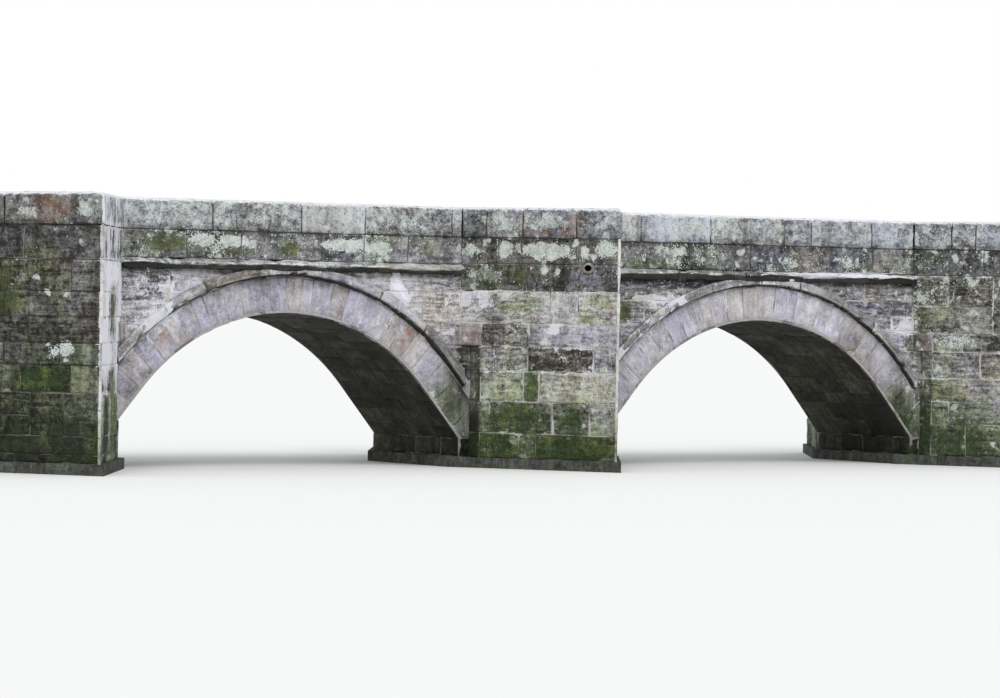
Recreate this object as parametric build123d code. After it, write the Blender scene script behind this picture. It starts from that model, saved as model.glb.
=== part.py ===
from build123d import *
import os
from math import sin, cos, tan, radians

os.makedirs("parts", exist_ok=True)

# Layout of the bridge, in millimetres
bay_count = 3
bay_pitch = 6600.0
bridge_width = 1940.0
pier_width = 2170.0
end_stub = 315.0

# Footings
footing_height = 120.0
side_ledge = 130.0
nose_ledge = 60.0

# Arches: a circular arc with straight legs that run down to the springing beds,
# whose heights on the two sides differ by the crown's shift and have this mean
soffit_crown_height = 1762.0
springing_height = 444.0
arc_half_angle = 50.0
ring_depth = 410.0
crown_shift = -90.0

# Hood moulds over the arch rings
hood_thickness = 110.0
hood_projection = 70.0
hood_chamfer = 35.0
hood_inset = 43.0

# Cutwaters, with their lower roots set back under corbel stones
cutwater_projection = 1680.0
root_setback = 226.0
corbel_drop = 840.0
corbel_height = 220.0
corbel_overlap = 75.0
corbel_projection = 15.0
corbel_tail = 160.0

# Sections above the arches, each standing on the one before
crown_cover = 78.0
paving_thickness = 50.0
string_height = 105.0
string_projection = 80.0
string_weathering = 40.0
wall_thickness = 340.0
parapet_height = 315.0
coping_height = 355.0
coping_overhang = 15.0
coping_rounding = 70.0

# Clay drain pipe through one refuge, on the left of the nose of the second pier
drained_pier = 2
pipe_outer_radius = 62.0
pipe_bore_radius = 36.0
pipe_invert_drop = 3.0
pipe_from_nose = 391.0
pipe_angle = 20.0
pipe_proud = 12.0

# Derived values
half_width = bridge_width / 2
half_pier = pier_width / 2
half_bay = bay_pitch / 2
half_length = bay_count * half_bay + half_pier + end_stub
phi = radians(arc_half_angle)
half_span = half_bay - half_pier
arch_rise = soffit_crown_height - springing_height
soffit_radius = (half_span * tan(phi) - arch_rise) / (1 / cos(phi) - 1)
soffit_centre_height = soffit_crown_height - soffit_radius
extrados_radius = soffit_radius + ring_depth
hood_radius = extrados_radius + hood_thickness
bed_level = soffit_crown_height + ring_depth + crown_cover
paving_top = bed_level + paving_thickness
string_top = bed_level + string_height
coping_bottom = string_top + parapet_height
coping_top = coping_bottom + coping_height
corbel_bottom = bed_level - corbel_drop
pipe_height = paving_top - pipe_invert_drop + pipe_bore_radius
jamb_left = half_pier - half_bay - crown_shift
jamb_right = half_bay - half_pier - crown_shift
pier_x = [(k - bay_count / 2) * bay_pitch for k in range(bay_count + 1)]
arch_x = [x + half_bay + crown_shift for x in pier_x[:-1]]
face_length = (half_pier**2 + cutwater_projection**2) ** 0.5
sin_face = half_pier / face_length
cos_face = cutwater_projection / face_length


def leg_x(radius, z):
    """Distance from the crown line to the straight leg of an arch line at height z."""
    end_z = soffit_centre_height + radius * cos(phi)
    return radius * sin(phi) + (end_z - z) / tan(phi)


def leg_z(radius, x):
    """Height of the straight leg of an arch line at distance x from the crown line."""
    end_z = soffit_centre_height + radius * cos(phi)
    return end_z - (x - radius * sin(phi)) * tan(phi)


# The soffit legs meet the pier faces at the springing beds. Above haunch_level
# the outer curves of neighbouring rings are further apart than the pier faces.
bed_left = leg_z(soffit_radius, -jamb_left)
bed_right = leg_z(soffit_radius, jamb_right)
haunch_level = leg_z(extrados_radius, max(-jamb_left, jamb_right))


def arch_line(radius, z_left, z_right):
    """Edges of one arch line from its left foot over the crown to its right foot."""
    end_x = radius * sin(phi)
    end_z = soffit_centre_height + radius * cos(phi)
    crown = (0, 0, soffit_centre_height + radius)
    left = Line((-leg_x(radius, z_left), 0, z_left), (-end_x, 0, end_z))
    arc = ThreePointArc((-end_x, 0, end_z), crown, (end_x, 0, end_z))
    right = Line((end_x, 0, end_z), (leg_x(radius, z_right), 0, z_right))
    return [left, arc, right]


def straight(points):
    """Straight edges through points given as (x, z)."""
    corners = [(x, 0, z) for x, z in points]
    return [Line(a, b) for a, b in zip(corners[:-1], corners[1:])]


def across(face, y_from, y_to):
    """Extrude a face drawn at Y = 0 along Y."""
    return extrude(Pos(0, y_from, 0) * face, amount=y_to - y_from, dir=(0, 1, 0))


def plan_prism(points, z_from, z_to):
    """Upright prism over a plan outline with straight sides."""
    outline = Wire.make_polygon([(x, y, z_from) for x, y in points], close=True)
    return extrude(Face(outline), amount=z_to - z_from, dir=(0, 0, 1))


def block(x_span, y_span, z_span):
    x0, x1 = x_span
    y0, y1 = y_span
    return plan_prism([(x0, y0), (x1, y0), (x1, y1), (x0, y1)], z_span[0], z_span[1])


def to_back(shapes):
    """The same pieces on the other face of the bridge."""
    return [mirror(shape, about=Plane.XZ) for shape in shapes]


def save(name, shapes):
    """Write one node made of one or more solids that don't touch."""
    solids = [solid for shape in shapes for solid in shape.solids()]
    node = solids[0] if len(solids) == 1 else Compound(children=solids)
    export_step(node, "parts/" + name + ".step")


def save_both(name, shapes):
    save(name + "_front", shapes)
    save(name + "_back", to_back(shapes))


# Plan geometry of the refuge walls. Their outer faces carry on the cutwater faces,
# and d is the distance inside an outer face: negative values lie outside it.
def root_corner(d, side):
    """Corner between a parapet line and a refuge wall line, about a pier's centre."""
    return (side * (half_pier - d * (1 - sin_face) / cos_face), -half_width + d)


def nose_corner(d):
    return (0.0, -half_width - cutwater_projection + d / sin_face)


def refuge_plan(d_out, d_in, side):
    """Plan of one refuge wall, mitred at its root and at the nose."""
    outer = [root_corner(d_out, side), nose_corner(d_out)]
    inner = [nose_corner(d_in), root_corner(d_in, side)]
    return outer + inner


# Parapet runs: a stub at each end of the bridge and one run in every bay
runs = [(-half_length, pier_x[0])]
runs += list(zip(pier_x[:-1], pier_x[1:]))
runs += [(pier_x[-1], half_length)]


def run_plan(run, d_out, d_in):
    """Plan of a parapet run, mitred where it meets a refuge wall."""
    x0, x1 = run
    corners = []
    for d in (d_out, d_in):
        start = x0 if run is runs[0] else x0 + root_corner(d, 1)[0]
        stop = x1 if run is runs[-1] else x1 + root_corner(d, -1)[0]
        corners.append((start, stop, -half_width + d))
    (a0, a1, ya), (b0, b1, yb) = corners
    return [(a0, ya), (a1, ya), (b1, yb), (b0, yb)]


# Arch barrels, standing on the springing beds
ring = make_face(
    arch_line(extrados_radius, bed_left, bed_right)
    + arch_line(soffit_radius, bed_left, bed_right)
    + straight([(jamb_left, bed_left), (-leg_x(extrados_radius, bed_left), bed_left)])
    + straight([(jamb_right, bed_right), (leg_x(extrados_radius, bed_right), bed_right)])
)
barrel = across(ring, -half_width, half_width)
for k, x in enumerate(arch_x):
    save("arch_barrel_%d" % (k + 1), [Pos(x, 0, 0) * barrel])

# Space taken by an arch and its waterway, cut from everything around it
arch_space = make_face(
    arch_line(extrados_radius, bed_left, bed_right)
    + straight(
        [
            (leg_x(extrados_radius, bed_right), bed_right),
            (jamb_right, bed_right),
            (jamb_right, -1.0),
            (jamb_left, -1.0),
            (jamb_left, bed_left),
            (-leg_x(extrados_radius, bed_left), bed_left),
        ]
    )
)
arch_cuts = [Pos(x, 0, 0) * across(arch_space, -half_width, half_width) for x in arch_x]


def between_arches(k, y_span, z_span):
    """Solid over pier k between the crowns of its two arches, less the arches."""
    reach = 2 * half_pier
    x0 = -half_length if k == 0 else pier_x[k] - reach
    x1 = half_length if k == bay_count else pier_x[k] + reach
    if z_span[0] >= haunch_level:
        x0 = -half_length if k == 0 else arch_x[k - 1]
        x1 = half_length if k == bay_count else arch_x[k]
    solid = block((x0, x1), y_span, z_span)
    for cut in arch_cuts[max(k - 1, 0) : k + 1]:
        solid -= cut
    return solid


# Piers up to the haunches
for k in range(bay_count + 1):
    levels = (footing_height, haunch_level)
    save("pier_%d" % (k + 1), [between_arches(k, (-half_width, half_width), levels)])

# Footings under the piers and cutwaters, with a ledge all round
side_x = half_pier + side_ledge
tip_y = half_width + cutwater_projection + nose_ledge / sin_face
side_y = tip_y - side_x * cos_face / sin_face
footing_plan = [(-side_x, -side_y), (0, -tip_y), (side_x, -side_y)]
footing_plan += [(side_x, side_y), (0, tip_y), (-side_x, side_y)]
footing = plan_prism(footing_plan, 0, footing_height)
footings = [Pos(x, 0, 0) * footing for x in pier_x]
stub_y = (-half_width - nose_ledge, half_width + nose_ledge)
footings[0] += block((-half_length, pier_x[0]), stub_y, (0, footing_height))
footings[-1] += block((pier_x[-1], half_length), stub_y, (0, footing_height))
save("pier_footings", footings)

# Corbel stones that carry the upper roots of the cutwaters
return_x = half_pier * (1 - root_setback / cutwater_projection)
return_y = -half_width - root_setback
corbel_x = half_pier + corbel_overlap
tail_y = -half_width + corbel_tail
lip_x, lip_y = root_corner(-corbel_projection, -1)
corbel_plan = [
    (-corbel_x, tail_y),
    (-corbel_x, lip_y),
    (lip_x, lip_y),
    (-return_x - corbel_projection * cos_face, return_y - corbel_projection * sin_face),
    (-return_x, return_y),
    (-return_x, tail_y),
]
corbel_left = plan_prism(corbel_plan, corbel_bottom, corbel_bottom + corbel_height)
corbel_pair = [corbel_left, mirror(corbel_left, about=Plane.YZ)]
corbels = [Pos(x, 0, 0) * corbel for x in pier_x for corbel in corbel_pair]
save_both("corbel_stones", corbels)

# Cutwaters: a narrower root below the corbels and the full triangle above
root_y = -half_width
lower_plan = [(-return_x, root_y), (-return_x, return_y), nose_corner(0)]
lower_plan += [(return_x, return_y), (return_x, root_y)]
upper_plan = [root_corner(0, -1), nose_corner(0), root_corner(0, 1)]
cutwater = plan_prism(lower_plan, footing_height, corbel_bottom)
cutwater += plan_prism(upper_plan, corbel_bottom, bed_level)
for corbel in corbel_pair:
    cutwater -= corbel
save_both("cutwaters", [Pos(x, 0, 0) * cutwater for x in pier_x])

# Spandrel walls on the arch backs, and the fill between them
for k, x in enumerate(pier_x):
    y_span = (-half_width, -half_width + wall_thickness)
    spandrel = between_arches(k, y_span, (haunch_level, bed_level))
    for corbel in corbel_pair:
        spandrel -= Pos(x, 0, 0) * corbel
    save("spandrel_walls_%d" % (k + 1), [spandrel] + to_back([spandrel]))
inner_y = half_width - wall_thickness
for k in range(bay_count + 1):
    fill = between_arches(k, (-inner_y, inner_y), (haunch_level, bed_level))
    save("fill_%d" % (k + 1), [fill])

# String courses: a bed through the wall with a weathered moulding in front
string_courses = []
for run in runs:
    bed = plan_prism(run_plan(run, 0, wall_thickness), bed_level, string_top)
    x0 = run[0] if run is runs[0] else run[0] + half_pier
    x1 = run[1] if run is runs[-1] else run[1] - half_pier
    front_y = -half_width - string_projection
    section = make_face(
        Polyline(
            (x0, front_y, bed_level),
            (x0, -half_width, bed_level),
            (x0, -half_width, string_top),
            (x0, front_y, string_top - string_weathering),
            close=True,
        )
    )
    string_courses.append(bed + extrude(section, amount=x1 - x0, dir=(1, 0, 0)))
save_both("string_course", string_courses)

# Hood moulds over the rings, stopped in the recesses beside the cutwaters
foot = min(bed_left, bed_right)
hood_face = make_face(
    arch_line(hood_radius, foot, foot)
    + arch_line(extrados_radius, foot, foot)
    + straight([(-leg_x(hood_radius, foot), foot), (-leg_x(extrados_radius, foot), foot)])
    + straight([(leg_x(hood_radius, foot), foot), (leg_x(extrados_radius, foot), foot)])
)
hood_y = (-half_width - hood_projection, -half_width)
hood = across(hood_face, *hood_y)
front_edges = hood.faces().sort_by(Axis.Y)[0].edges()
hood_centre = Vertex(0, hood_y[0], soffit_centre_height)
under_edges = [e for e in front_edges if abs(e.distance_to(hood_centre) - extrados_radius) < 1]
hood = chamfer(under_edges, hood_chamfer)
hood_stops = (jamb_left - hood_inset, jamb_right + hood_inset)
hood &= block(hood_stops, hood_y, (foot, bed_level))
hoods = []
for k, x in enumerate(arch_x):
    placed = Pos(x, 0, 0) * hood
    for corbel in corbels[2 * k : 2 * k + 4]:
        placed -= corbel
    hoods.append(placed)
save("hood_moulds", hoods + to_back(hoods))

# Paving of the walkway and of the refuges
paving_z = (bed_level, paving_top)
save("walkway_paving", [block((-half_length, half_length), (-inner_y, inner_y), paving_z)])
floor_plan = [root_corner(wall_thickness, -1), nose_corner(wall_thickness)]
floor_plan.append(root_corner(wall_thickness, 1))
refuge_floor = plan_prism(floor_plan, *paving_z)
save_both("refuge_floors", [Pos(x, 0, 0) * refuge_floor for x in pier_x])

# Parapet walls of the bays
parapets = []
for run in runs:
    parapets.append(plan_prism(run_plan(run, 0, wall_thickness), string_top, coping_bottom))
save_both("parapet_walls", parapets)

# Drain pipe and its bore
pipe_s = face_length - pipe_from_nose
root_x, root_y = root_corner(0, -1)
mouth_x = pier_x[drained_pier - 1] + root_x + pipe_s * sin_face
pipe_mouth = (mouth_x, root_y - pipe_s * cos_face, pipe_height)
pipe_axis = (-sin(radians(pipe_angle)), -cos(radians(pipe_angle)), 0)
pipe_plane = Plane(origin=pipe_mouth, z_dir=pipe_axis)
pipe_rod = extrude(pipe_plane * Circle(pipe_outer_radius), amount=wall_thickness * 2, both=True)
pipe_bore = extrude(pipe_plane * Circle(pipe_bore_radius), amount=wall_thickness * 2, both=True)
pipe_levels = (pipe_height - 2 * pipe_outer_radius, pipe_height + 2 * pipe_outer_radius)
pipe_zone = plan_prism(refuge_plan(-pipe_proud, wall_thickness, -1), *pipe_levels)
pipe_zone = Pos(pier_x[drained_pier - 1], 0, 0) * pipe_zone
save("drain_pipe", [(pipe_rod - pipe_bore) & pipe_zone])

# Refuge walls on the cutwaters, left and right of each nose
wall_levels = (bed_level, coping_bottom)
for side, word in ((-1, "left"), (1, "right")):
    wall = plan_prism(refuge_plan(0, wall_thickness, side), *wall_levels)
    walls = [Pos(x, 0, 0) * wall for x in pier_x]
    save("refuge_walls_back_" + word, to_back(walls))
    if side < 0:
        save("drained_refuge_wall", [walls.pop(drained_pier - 1) - pipe_rod])
    save("refuge_walls_front_" + word, walls)

# Copings with rounded shoulders, mitred at the roots and noses
coping_width = wall_thickness + 2 * coping_overhang
side_top = coping_top - coping_rounding
shoulder = coping_rounding * (1 - cos(radians(45)))
coping_section = make_face(
    [
        Line((0, coping_bottom), (0, side_top)),
        ThreePointArc(
            (0, side_top),
            (shoulder, coping_top - shoulder),
            (coping_rounding, coping_top),
        ),
        Line((coping_rounding, coping_top), (coping_width - coping_rounding, coping_top)),
        ThreePointArc(
            (coping_width - coping_rounding, coping_top),
            (coping_width - shoulder, coping_top - shoulder),
            (coping_width, side_top),
        ),
        Line((coping_width, side_top), (coping_width, coping_bottom)),
        Line((coping_width, coping_bottom), (0, coping_bottom)),
    ]
)


def coping(plan):
    """Coping along the first side of a plan outline, cut to the outline."""
    start = Vector(*plan[0], 0)
    along = Vector(*plan[1], 0) - start
    length = along.length
    along = along.normalized()
    inward = Vector(-along.Y, along.X, 0)
    section = Plane(origin=start - along * length, x_dir=inward, z_dir=along) * coping_section
    return extrude(section, amount=3 * length, dir=along) & plan_prism(
        plan, coping_bottom - 1, coping_top + 1
    )


coping_out = -coping_overhang
coping_in = wall_thickness + coping_overhang
save_both("parapet_coping", [coping(run_plan(run, coping_out, coping_in)) for run in runs])
left_plan = refuge_plan(coping_out, coping_in, -1)
left_coping = coping(left_plan)
right_coping = mirror(left_coping, about=Plane.YZ)
for piece, word in ((left_coping, "left"), (right_coping, "right")):
    pieces = [Pos(x, 0, 0) * piece for x in pier_x]
    save("refuge_coping_front_" + word, pieces)
    save("refuge_coping_back_" + word, to_back(pieces))
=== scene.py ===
import math

import bpy
import numpy as np
from mathutils import Matrix, Vector


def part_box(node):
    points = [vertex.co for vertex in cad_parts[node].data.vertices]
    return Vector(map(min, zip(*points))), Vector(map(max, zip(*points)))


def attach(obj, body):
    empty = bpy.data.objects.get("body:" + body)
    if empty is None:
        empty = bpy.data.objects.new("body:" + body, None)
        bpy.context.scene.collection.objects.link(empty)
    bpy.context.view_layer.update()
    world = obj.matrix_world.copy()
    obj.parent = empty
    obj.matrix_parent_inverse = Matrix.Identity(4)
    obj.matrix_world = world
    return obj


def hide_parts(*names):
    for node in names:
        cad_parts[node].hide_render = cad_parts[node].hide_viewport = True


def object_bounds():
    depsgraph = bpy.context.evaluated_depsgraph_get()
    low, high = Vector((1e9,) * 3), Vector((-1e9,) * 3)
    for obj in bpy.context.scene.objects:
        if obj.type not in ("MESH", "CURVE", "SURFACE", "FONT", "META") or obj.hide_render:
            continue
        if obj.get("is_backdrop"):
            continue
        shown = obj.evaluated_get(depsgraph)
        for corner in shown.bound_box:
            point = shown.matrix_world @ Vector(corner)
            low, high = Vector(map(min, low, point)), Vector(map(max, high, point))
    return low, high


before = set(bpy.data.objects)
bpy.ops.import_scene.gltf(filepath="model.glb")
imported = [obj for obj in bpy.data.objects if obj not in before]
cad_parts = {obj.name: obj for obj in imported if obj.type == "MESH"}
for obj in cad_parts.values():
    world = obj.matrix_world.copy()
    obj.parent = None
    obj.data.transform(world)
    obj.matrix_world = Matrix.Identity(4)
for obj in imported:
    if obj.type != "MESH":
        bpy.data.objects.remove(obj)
cad_low, cad_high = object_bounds()
rng = np.random.default_rng(7)

# Sizes read from the solid model, in metres
def box(node):
    low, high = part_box(node)
    return np.array(low), np.array(high)


pier_low, pier_high = box("pier_2")
half_pier = (pier_high[0] - pier_low[0]) / 2
pitch = box("pier_3")[0][0] - pier_low[0]
pier_x = [(pier_low[0] + pier_high[0]) / 2 + pitch * k for k in (-1, 0, 1, 2)]
wall_low, wall_high = box("spandrel_walls_2")
arch_x = [wall_low[0] + pitch * k for k in range(3)]
face_y = wall_high[1]
bed_level = wall_high[2]
nose_y = box("cutwaters_back")[1][1]
footing_top = box("pier_footings")[1][2]
paving_top = box("walkway_paving")[1][2]
inner_y = box("walkway_paving")[1][1]
string_low, string_high = box("string_course_back")
string_top = string_high[2]
string_y = string_high[1]
coping_bottom = box("parapet_walls_back")[1][2]
coping_low, coping_high = box("parapet_coping_back")
coping_top = coping_high[2]
coping_y = coping_high[1]
coping_width = coping_high[1] - coping_low[1]
corbel_low, corbel_high = box("corbel_stones_back")
corbel_x = corbel_high[0] - pier_x[-1]
hood_y = box("hood_moulds")[1][1]
barrel_top = box("arch_barrel_2")[1][2]
end_x = cad_high[0]
half_bay = pitch / 2
jamb_left = arch_x[1] - pier_x[1] - half_pier
jamb_right = pier_x[2] - half_pier - arch_x[1]

# Sizes of the arches and cutwaters that the boxes don't give
ring_depth = 0.410
soffit_radius = 2.3784
arc_half_angle = math.radians(50)
hood_depth = 0.110
hood_splay = 0.040
hood_inset = 0.043
root_setback = 0.226
string_weathering = 0.040
coping_rounding = 0.070
coping_overhang = 0.015
corbel_lip = 0.015
corbel_tail = 0.160
pipe_reach = 0.074
ring_middle = soffit_radius + ring_depth / 2
extrados = soffit_radius + ring_depth
hood_radius = extrados + hood_depth
centre_z = barrel_top - extrados
bed_left = 0.549
bed_right = 0.335
projection = nose_y - face_y
face_length = math.hypot(half_pier, projection)
sin_face = half_pier / face_length
cos_face = projection / face_length
lower_root = half_pier * (1 - root_setback / projection)
lower_start = root_setback / cos_face
wall = face_y - inner_y
inner_root = half_pier - wall * (1 - sin_face) / cos_face
inner_nose = nose_y - wall / sin_face

# How the stones stand on the solids, in metres
stone_proud = 0.008
stone_sink = 0.025
joint = 0.006
least_rise = 0.0012
least_width = 0.004
box_clearance = 0.0004

# Stones lower or narrower than this, and blocks shorter than this, are left out
least_stone = 0.03
least_block = 0.04

# Range of the random shift that gives each stone noise of its own
farthest_shift = 40

# Wear of the stones: size of its bumps, depth and reach from the edge, in metres
wander_size, wander_depth, wander_reach = 0.12, 0.006, 0.04
chip_size, chip_depth, chip_reach = 0.09, 0.040, 0.022
chip_limit, chip_rarity = 0.014, 0.40
rounding_bumps, rounding_change = 0.10, 0.6
swells = ((0.28, 0.0045, 8), (0.07, 0.0028, 9))
furrow_depth, furrow_limit = 0.012, 1.2
bed_bumps = (0.40, 0.035, 1)
fine_bed_bumps = (0.2, 0.02, 1)
mortar_reach = 0.012

# Damp and painted shade above 1 blacken the stone, up to this value
deepest_damp_and_shade = 1.3

# Distance of a point from an edge that doesn't matter to it
far_away = 9.0

# Repeatable noise over points
lattice_factors = (73856093, 19349663, 83492791, 1013904223)
last_factor = 1274126177
low_bits = 0xFFFFFFFF


def lattice(*place):
    """A random number from 0 to 1 for each lattice point, from its x, y, z and a seed."""
    n = 0
    for value, factor in zip(place, lattice_factors):
        n = n ^ (value * factor)
    n = (n ^ (n >> 13)) & low_bits
    n = (n * last_factor) & low_bits
    n = (n ^ (n >> 16)) & low_bits
    return n / low_bits


def noise(points, size, seed=0):
    """Smooth noise from -1 to 1, with bumps about size metres wide (a number or three)."""
    q = points / np.asarray(size, float)
    cell = np.floor(q).astype(np.int64)
    f = q - cell
    f = f * f * (3 - 2 * f)
    total = np.zeros(len(points))
    for corner in np.ndindex(2, 2, 2):
        weight = np.prod(np.where(corner, f, 1 - f), axis=1)
        total += weight * lattice(*(cell + corner).T, seed)
    return 2 * total - 1


def fractal(points, size, seed=0, octaves=3):
    """Noise of several sizes, each half the size and half the strength of the last."""
    total = np.zeros(len(points))
    weight = 1.0
    for k in range(octaves):
        total += weight * noise(points, np.asarray(size, float) / 2**k, seed + k)
        weight *= 0.5
    return total


# Lines with rounded corners, for plans and sections
def unit(v):
    return v / np.linalg.norm(v)


def corner_cut(into, out, radius):
    """Length that a rounded corner takes off both of its sides."""
    turn = math.acos(np.clip(into @ out, -1, 1))
    return radius * math.tan(turn / 2)


def corner_points(corner, into, out, cut, parts):
    """Points round a corner, each after its t from 0 to 1."""
    start = corner - into * cut
    end = corner + out * cut
    for t in np.linspace(0, 1, parts + 1):
        yield t, (1 - t) ** 2 * start + 2 * t * (1 - t) * corner + t * t * end


class Path:
    """A line through corners in a plane. Its normals lie to the right for side 1."""

    def __init__(self, corners, radius=0.0, side=1):
        corners = [np.array(c, float) for c in corners]
        points = [corners[0]]
        tangents = [unit(corners[1] - corners[0])]
        for before, corner, after in zip(corners, corners[1:], corners[2:]):
            into = unit(corner - before)
            out = unit(after - corner)
            cut = corner_cut(into, out, radius)
            for t, point in corner_points(corner, into, out, cut, 5):
                points.append(point)
                tangents.append(unit((1 - t) * into + t * out))
        points.append(corners[-1])
        tangents.append(unit(corners[-1] - corners[-2]))
        self.points = np.array(points)
        tangents = np.array(tangents)
        self.normals = side * np.column_stack([tangents[:, 1], -tangents[:, 0]])
        steps = np.linalg.norm(np.diff(self.points, axis=0), axis=1)
        self.reach = np.concatenate([[0], np.cumsum(np.maximum(steps, 1e-9))])
        self.length = self.reach[-1]

    def at(self, d):
        """Points and normals at distances along the line."""
        point, normal = (
            np.column_stack([np.interp(d, self.reach, values[:, k]) for k in (0, 1)])
            for values in (self.points, self.normals)
        )
        return point, normal / np.linalg.norm(normal, axis=1)[:, None]


# Surfaces that stones are laid on: u and v in metres give points and normals
def upright(path):
    """A wall over a plan line: u runs along the line and v is the height."""

    def surface(u, v):
        point, normal = path.at(u)
        return np.column_stack([point, v]), np.column_stack([normal, np.zeros(len(u))])

    return surface


def level(height):
    """A floor: u is x and v is y."""

    def surface(u, v):
        up = np.tile([0.0, 0.0, 1.0], (len(u), 1))
        return np.column_stack([u, v, np.full(len(u), height)]), up

    return surface


def ring_place(t, r):
    """x, z and slope of a point t along the ring's middle line from the crown, r out."""
    angle = np.clip(t / ring_middle, -arc_half_angle, arc_half_angle)
    leg = t - angle * ring_middle
    x = r * np.sin(angle) + leg * np.cos(angle)
    z = centre_z + r * np.cos(angle) - leg * np.sin(angle)
    return x, z, angle


def ring(cross):
    """The face and soffit of an arch: u runs along the ring and v along a line in (r, y)."""

    def surface(u, v):
        point, normal = cross.at(v)
        x, z, angle = ring_place(u, point[:, 0])
        n_r = normal[:, 0]
        co = np.column_stack([x, point[:, 1], z])
        return co, np.column_stack([n_r * np.sin(angle), normal[:, 1], n_r * np.cos(angle)])

    return surface


def ring_end(r, bed):
    """Distance along the ring at which the radius r comes down to a springing bed."""
    leg = (centre_z + r * math.cos(arc_half_angle) - bed) / math.sin(arc_half_angle)
    return arc_half_angle * ring_middle + leg


def hood_x(z):
    """Distance from the crown line to the hood's outer line at height z."""
    end = centre_z + hood_radius * math.cos(arc_half_angle)
    arc = np.sqrt(np.maximum(hood_radius**2 - (z - centre_z) ** 2, 0))
    leg = hood_radius * math.sin(arc_half_angle) + (end - z) / math.tan(arc_half_angle)
    return np.where(z > end, arc, leg)


# Pieces: stones gathered as arrays and joined into one mesh
def grid_line(length, step, rims=(0.0, 0.005, 0.014, 0.030)):
    """Distances across a stone from 0 to length, closer together at its rims."""
    rims = np.array(rims) * min(1.0, length / (5 * rims[-1]))
    count = max(1, int(round((length - 2 * rims[-1]) / step)))
    inner = np.linspace(rims[-1], length - rims[-1], count + 1)
    return np.concatenate([rims[:-1], inner, length - rims[:-1][::-1]])


def sheet_quads(rows, across, first=0):
    """Faces of a grid of points with the given number of rows and of points in a row."""
    k = (np.arange(rows - 1)[:, None] * across + np.arange(across - 1)[None, :]).ravel()
    return first + np.column_stack([k, k + across, k + across + 1, k + 1])


def facing(quads, points):
    """A normal for each face, as long as twice its area."""
    a, b, c, d = (points[quads[:, k]] for k in range(4))
    return np.cross(c - a, d - b)


def as_function(line):
    """The end of a stone or block as a function, where it may be given as a number."""
    return line if callable(line) else (lambda v: np.full(np.shape(v), float(line)))


def shown(name, data):
    """A new object in the scene."""
    obj = bpy.data.objects.new(name, data)
    bpy.context.scene.collection.objects.link(obj)
    return obj


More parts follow.
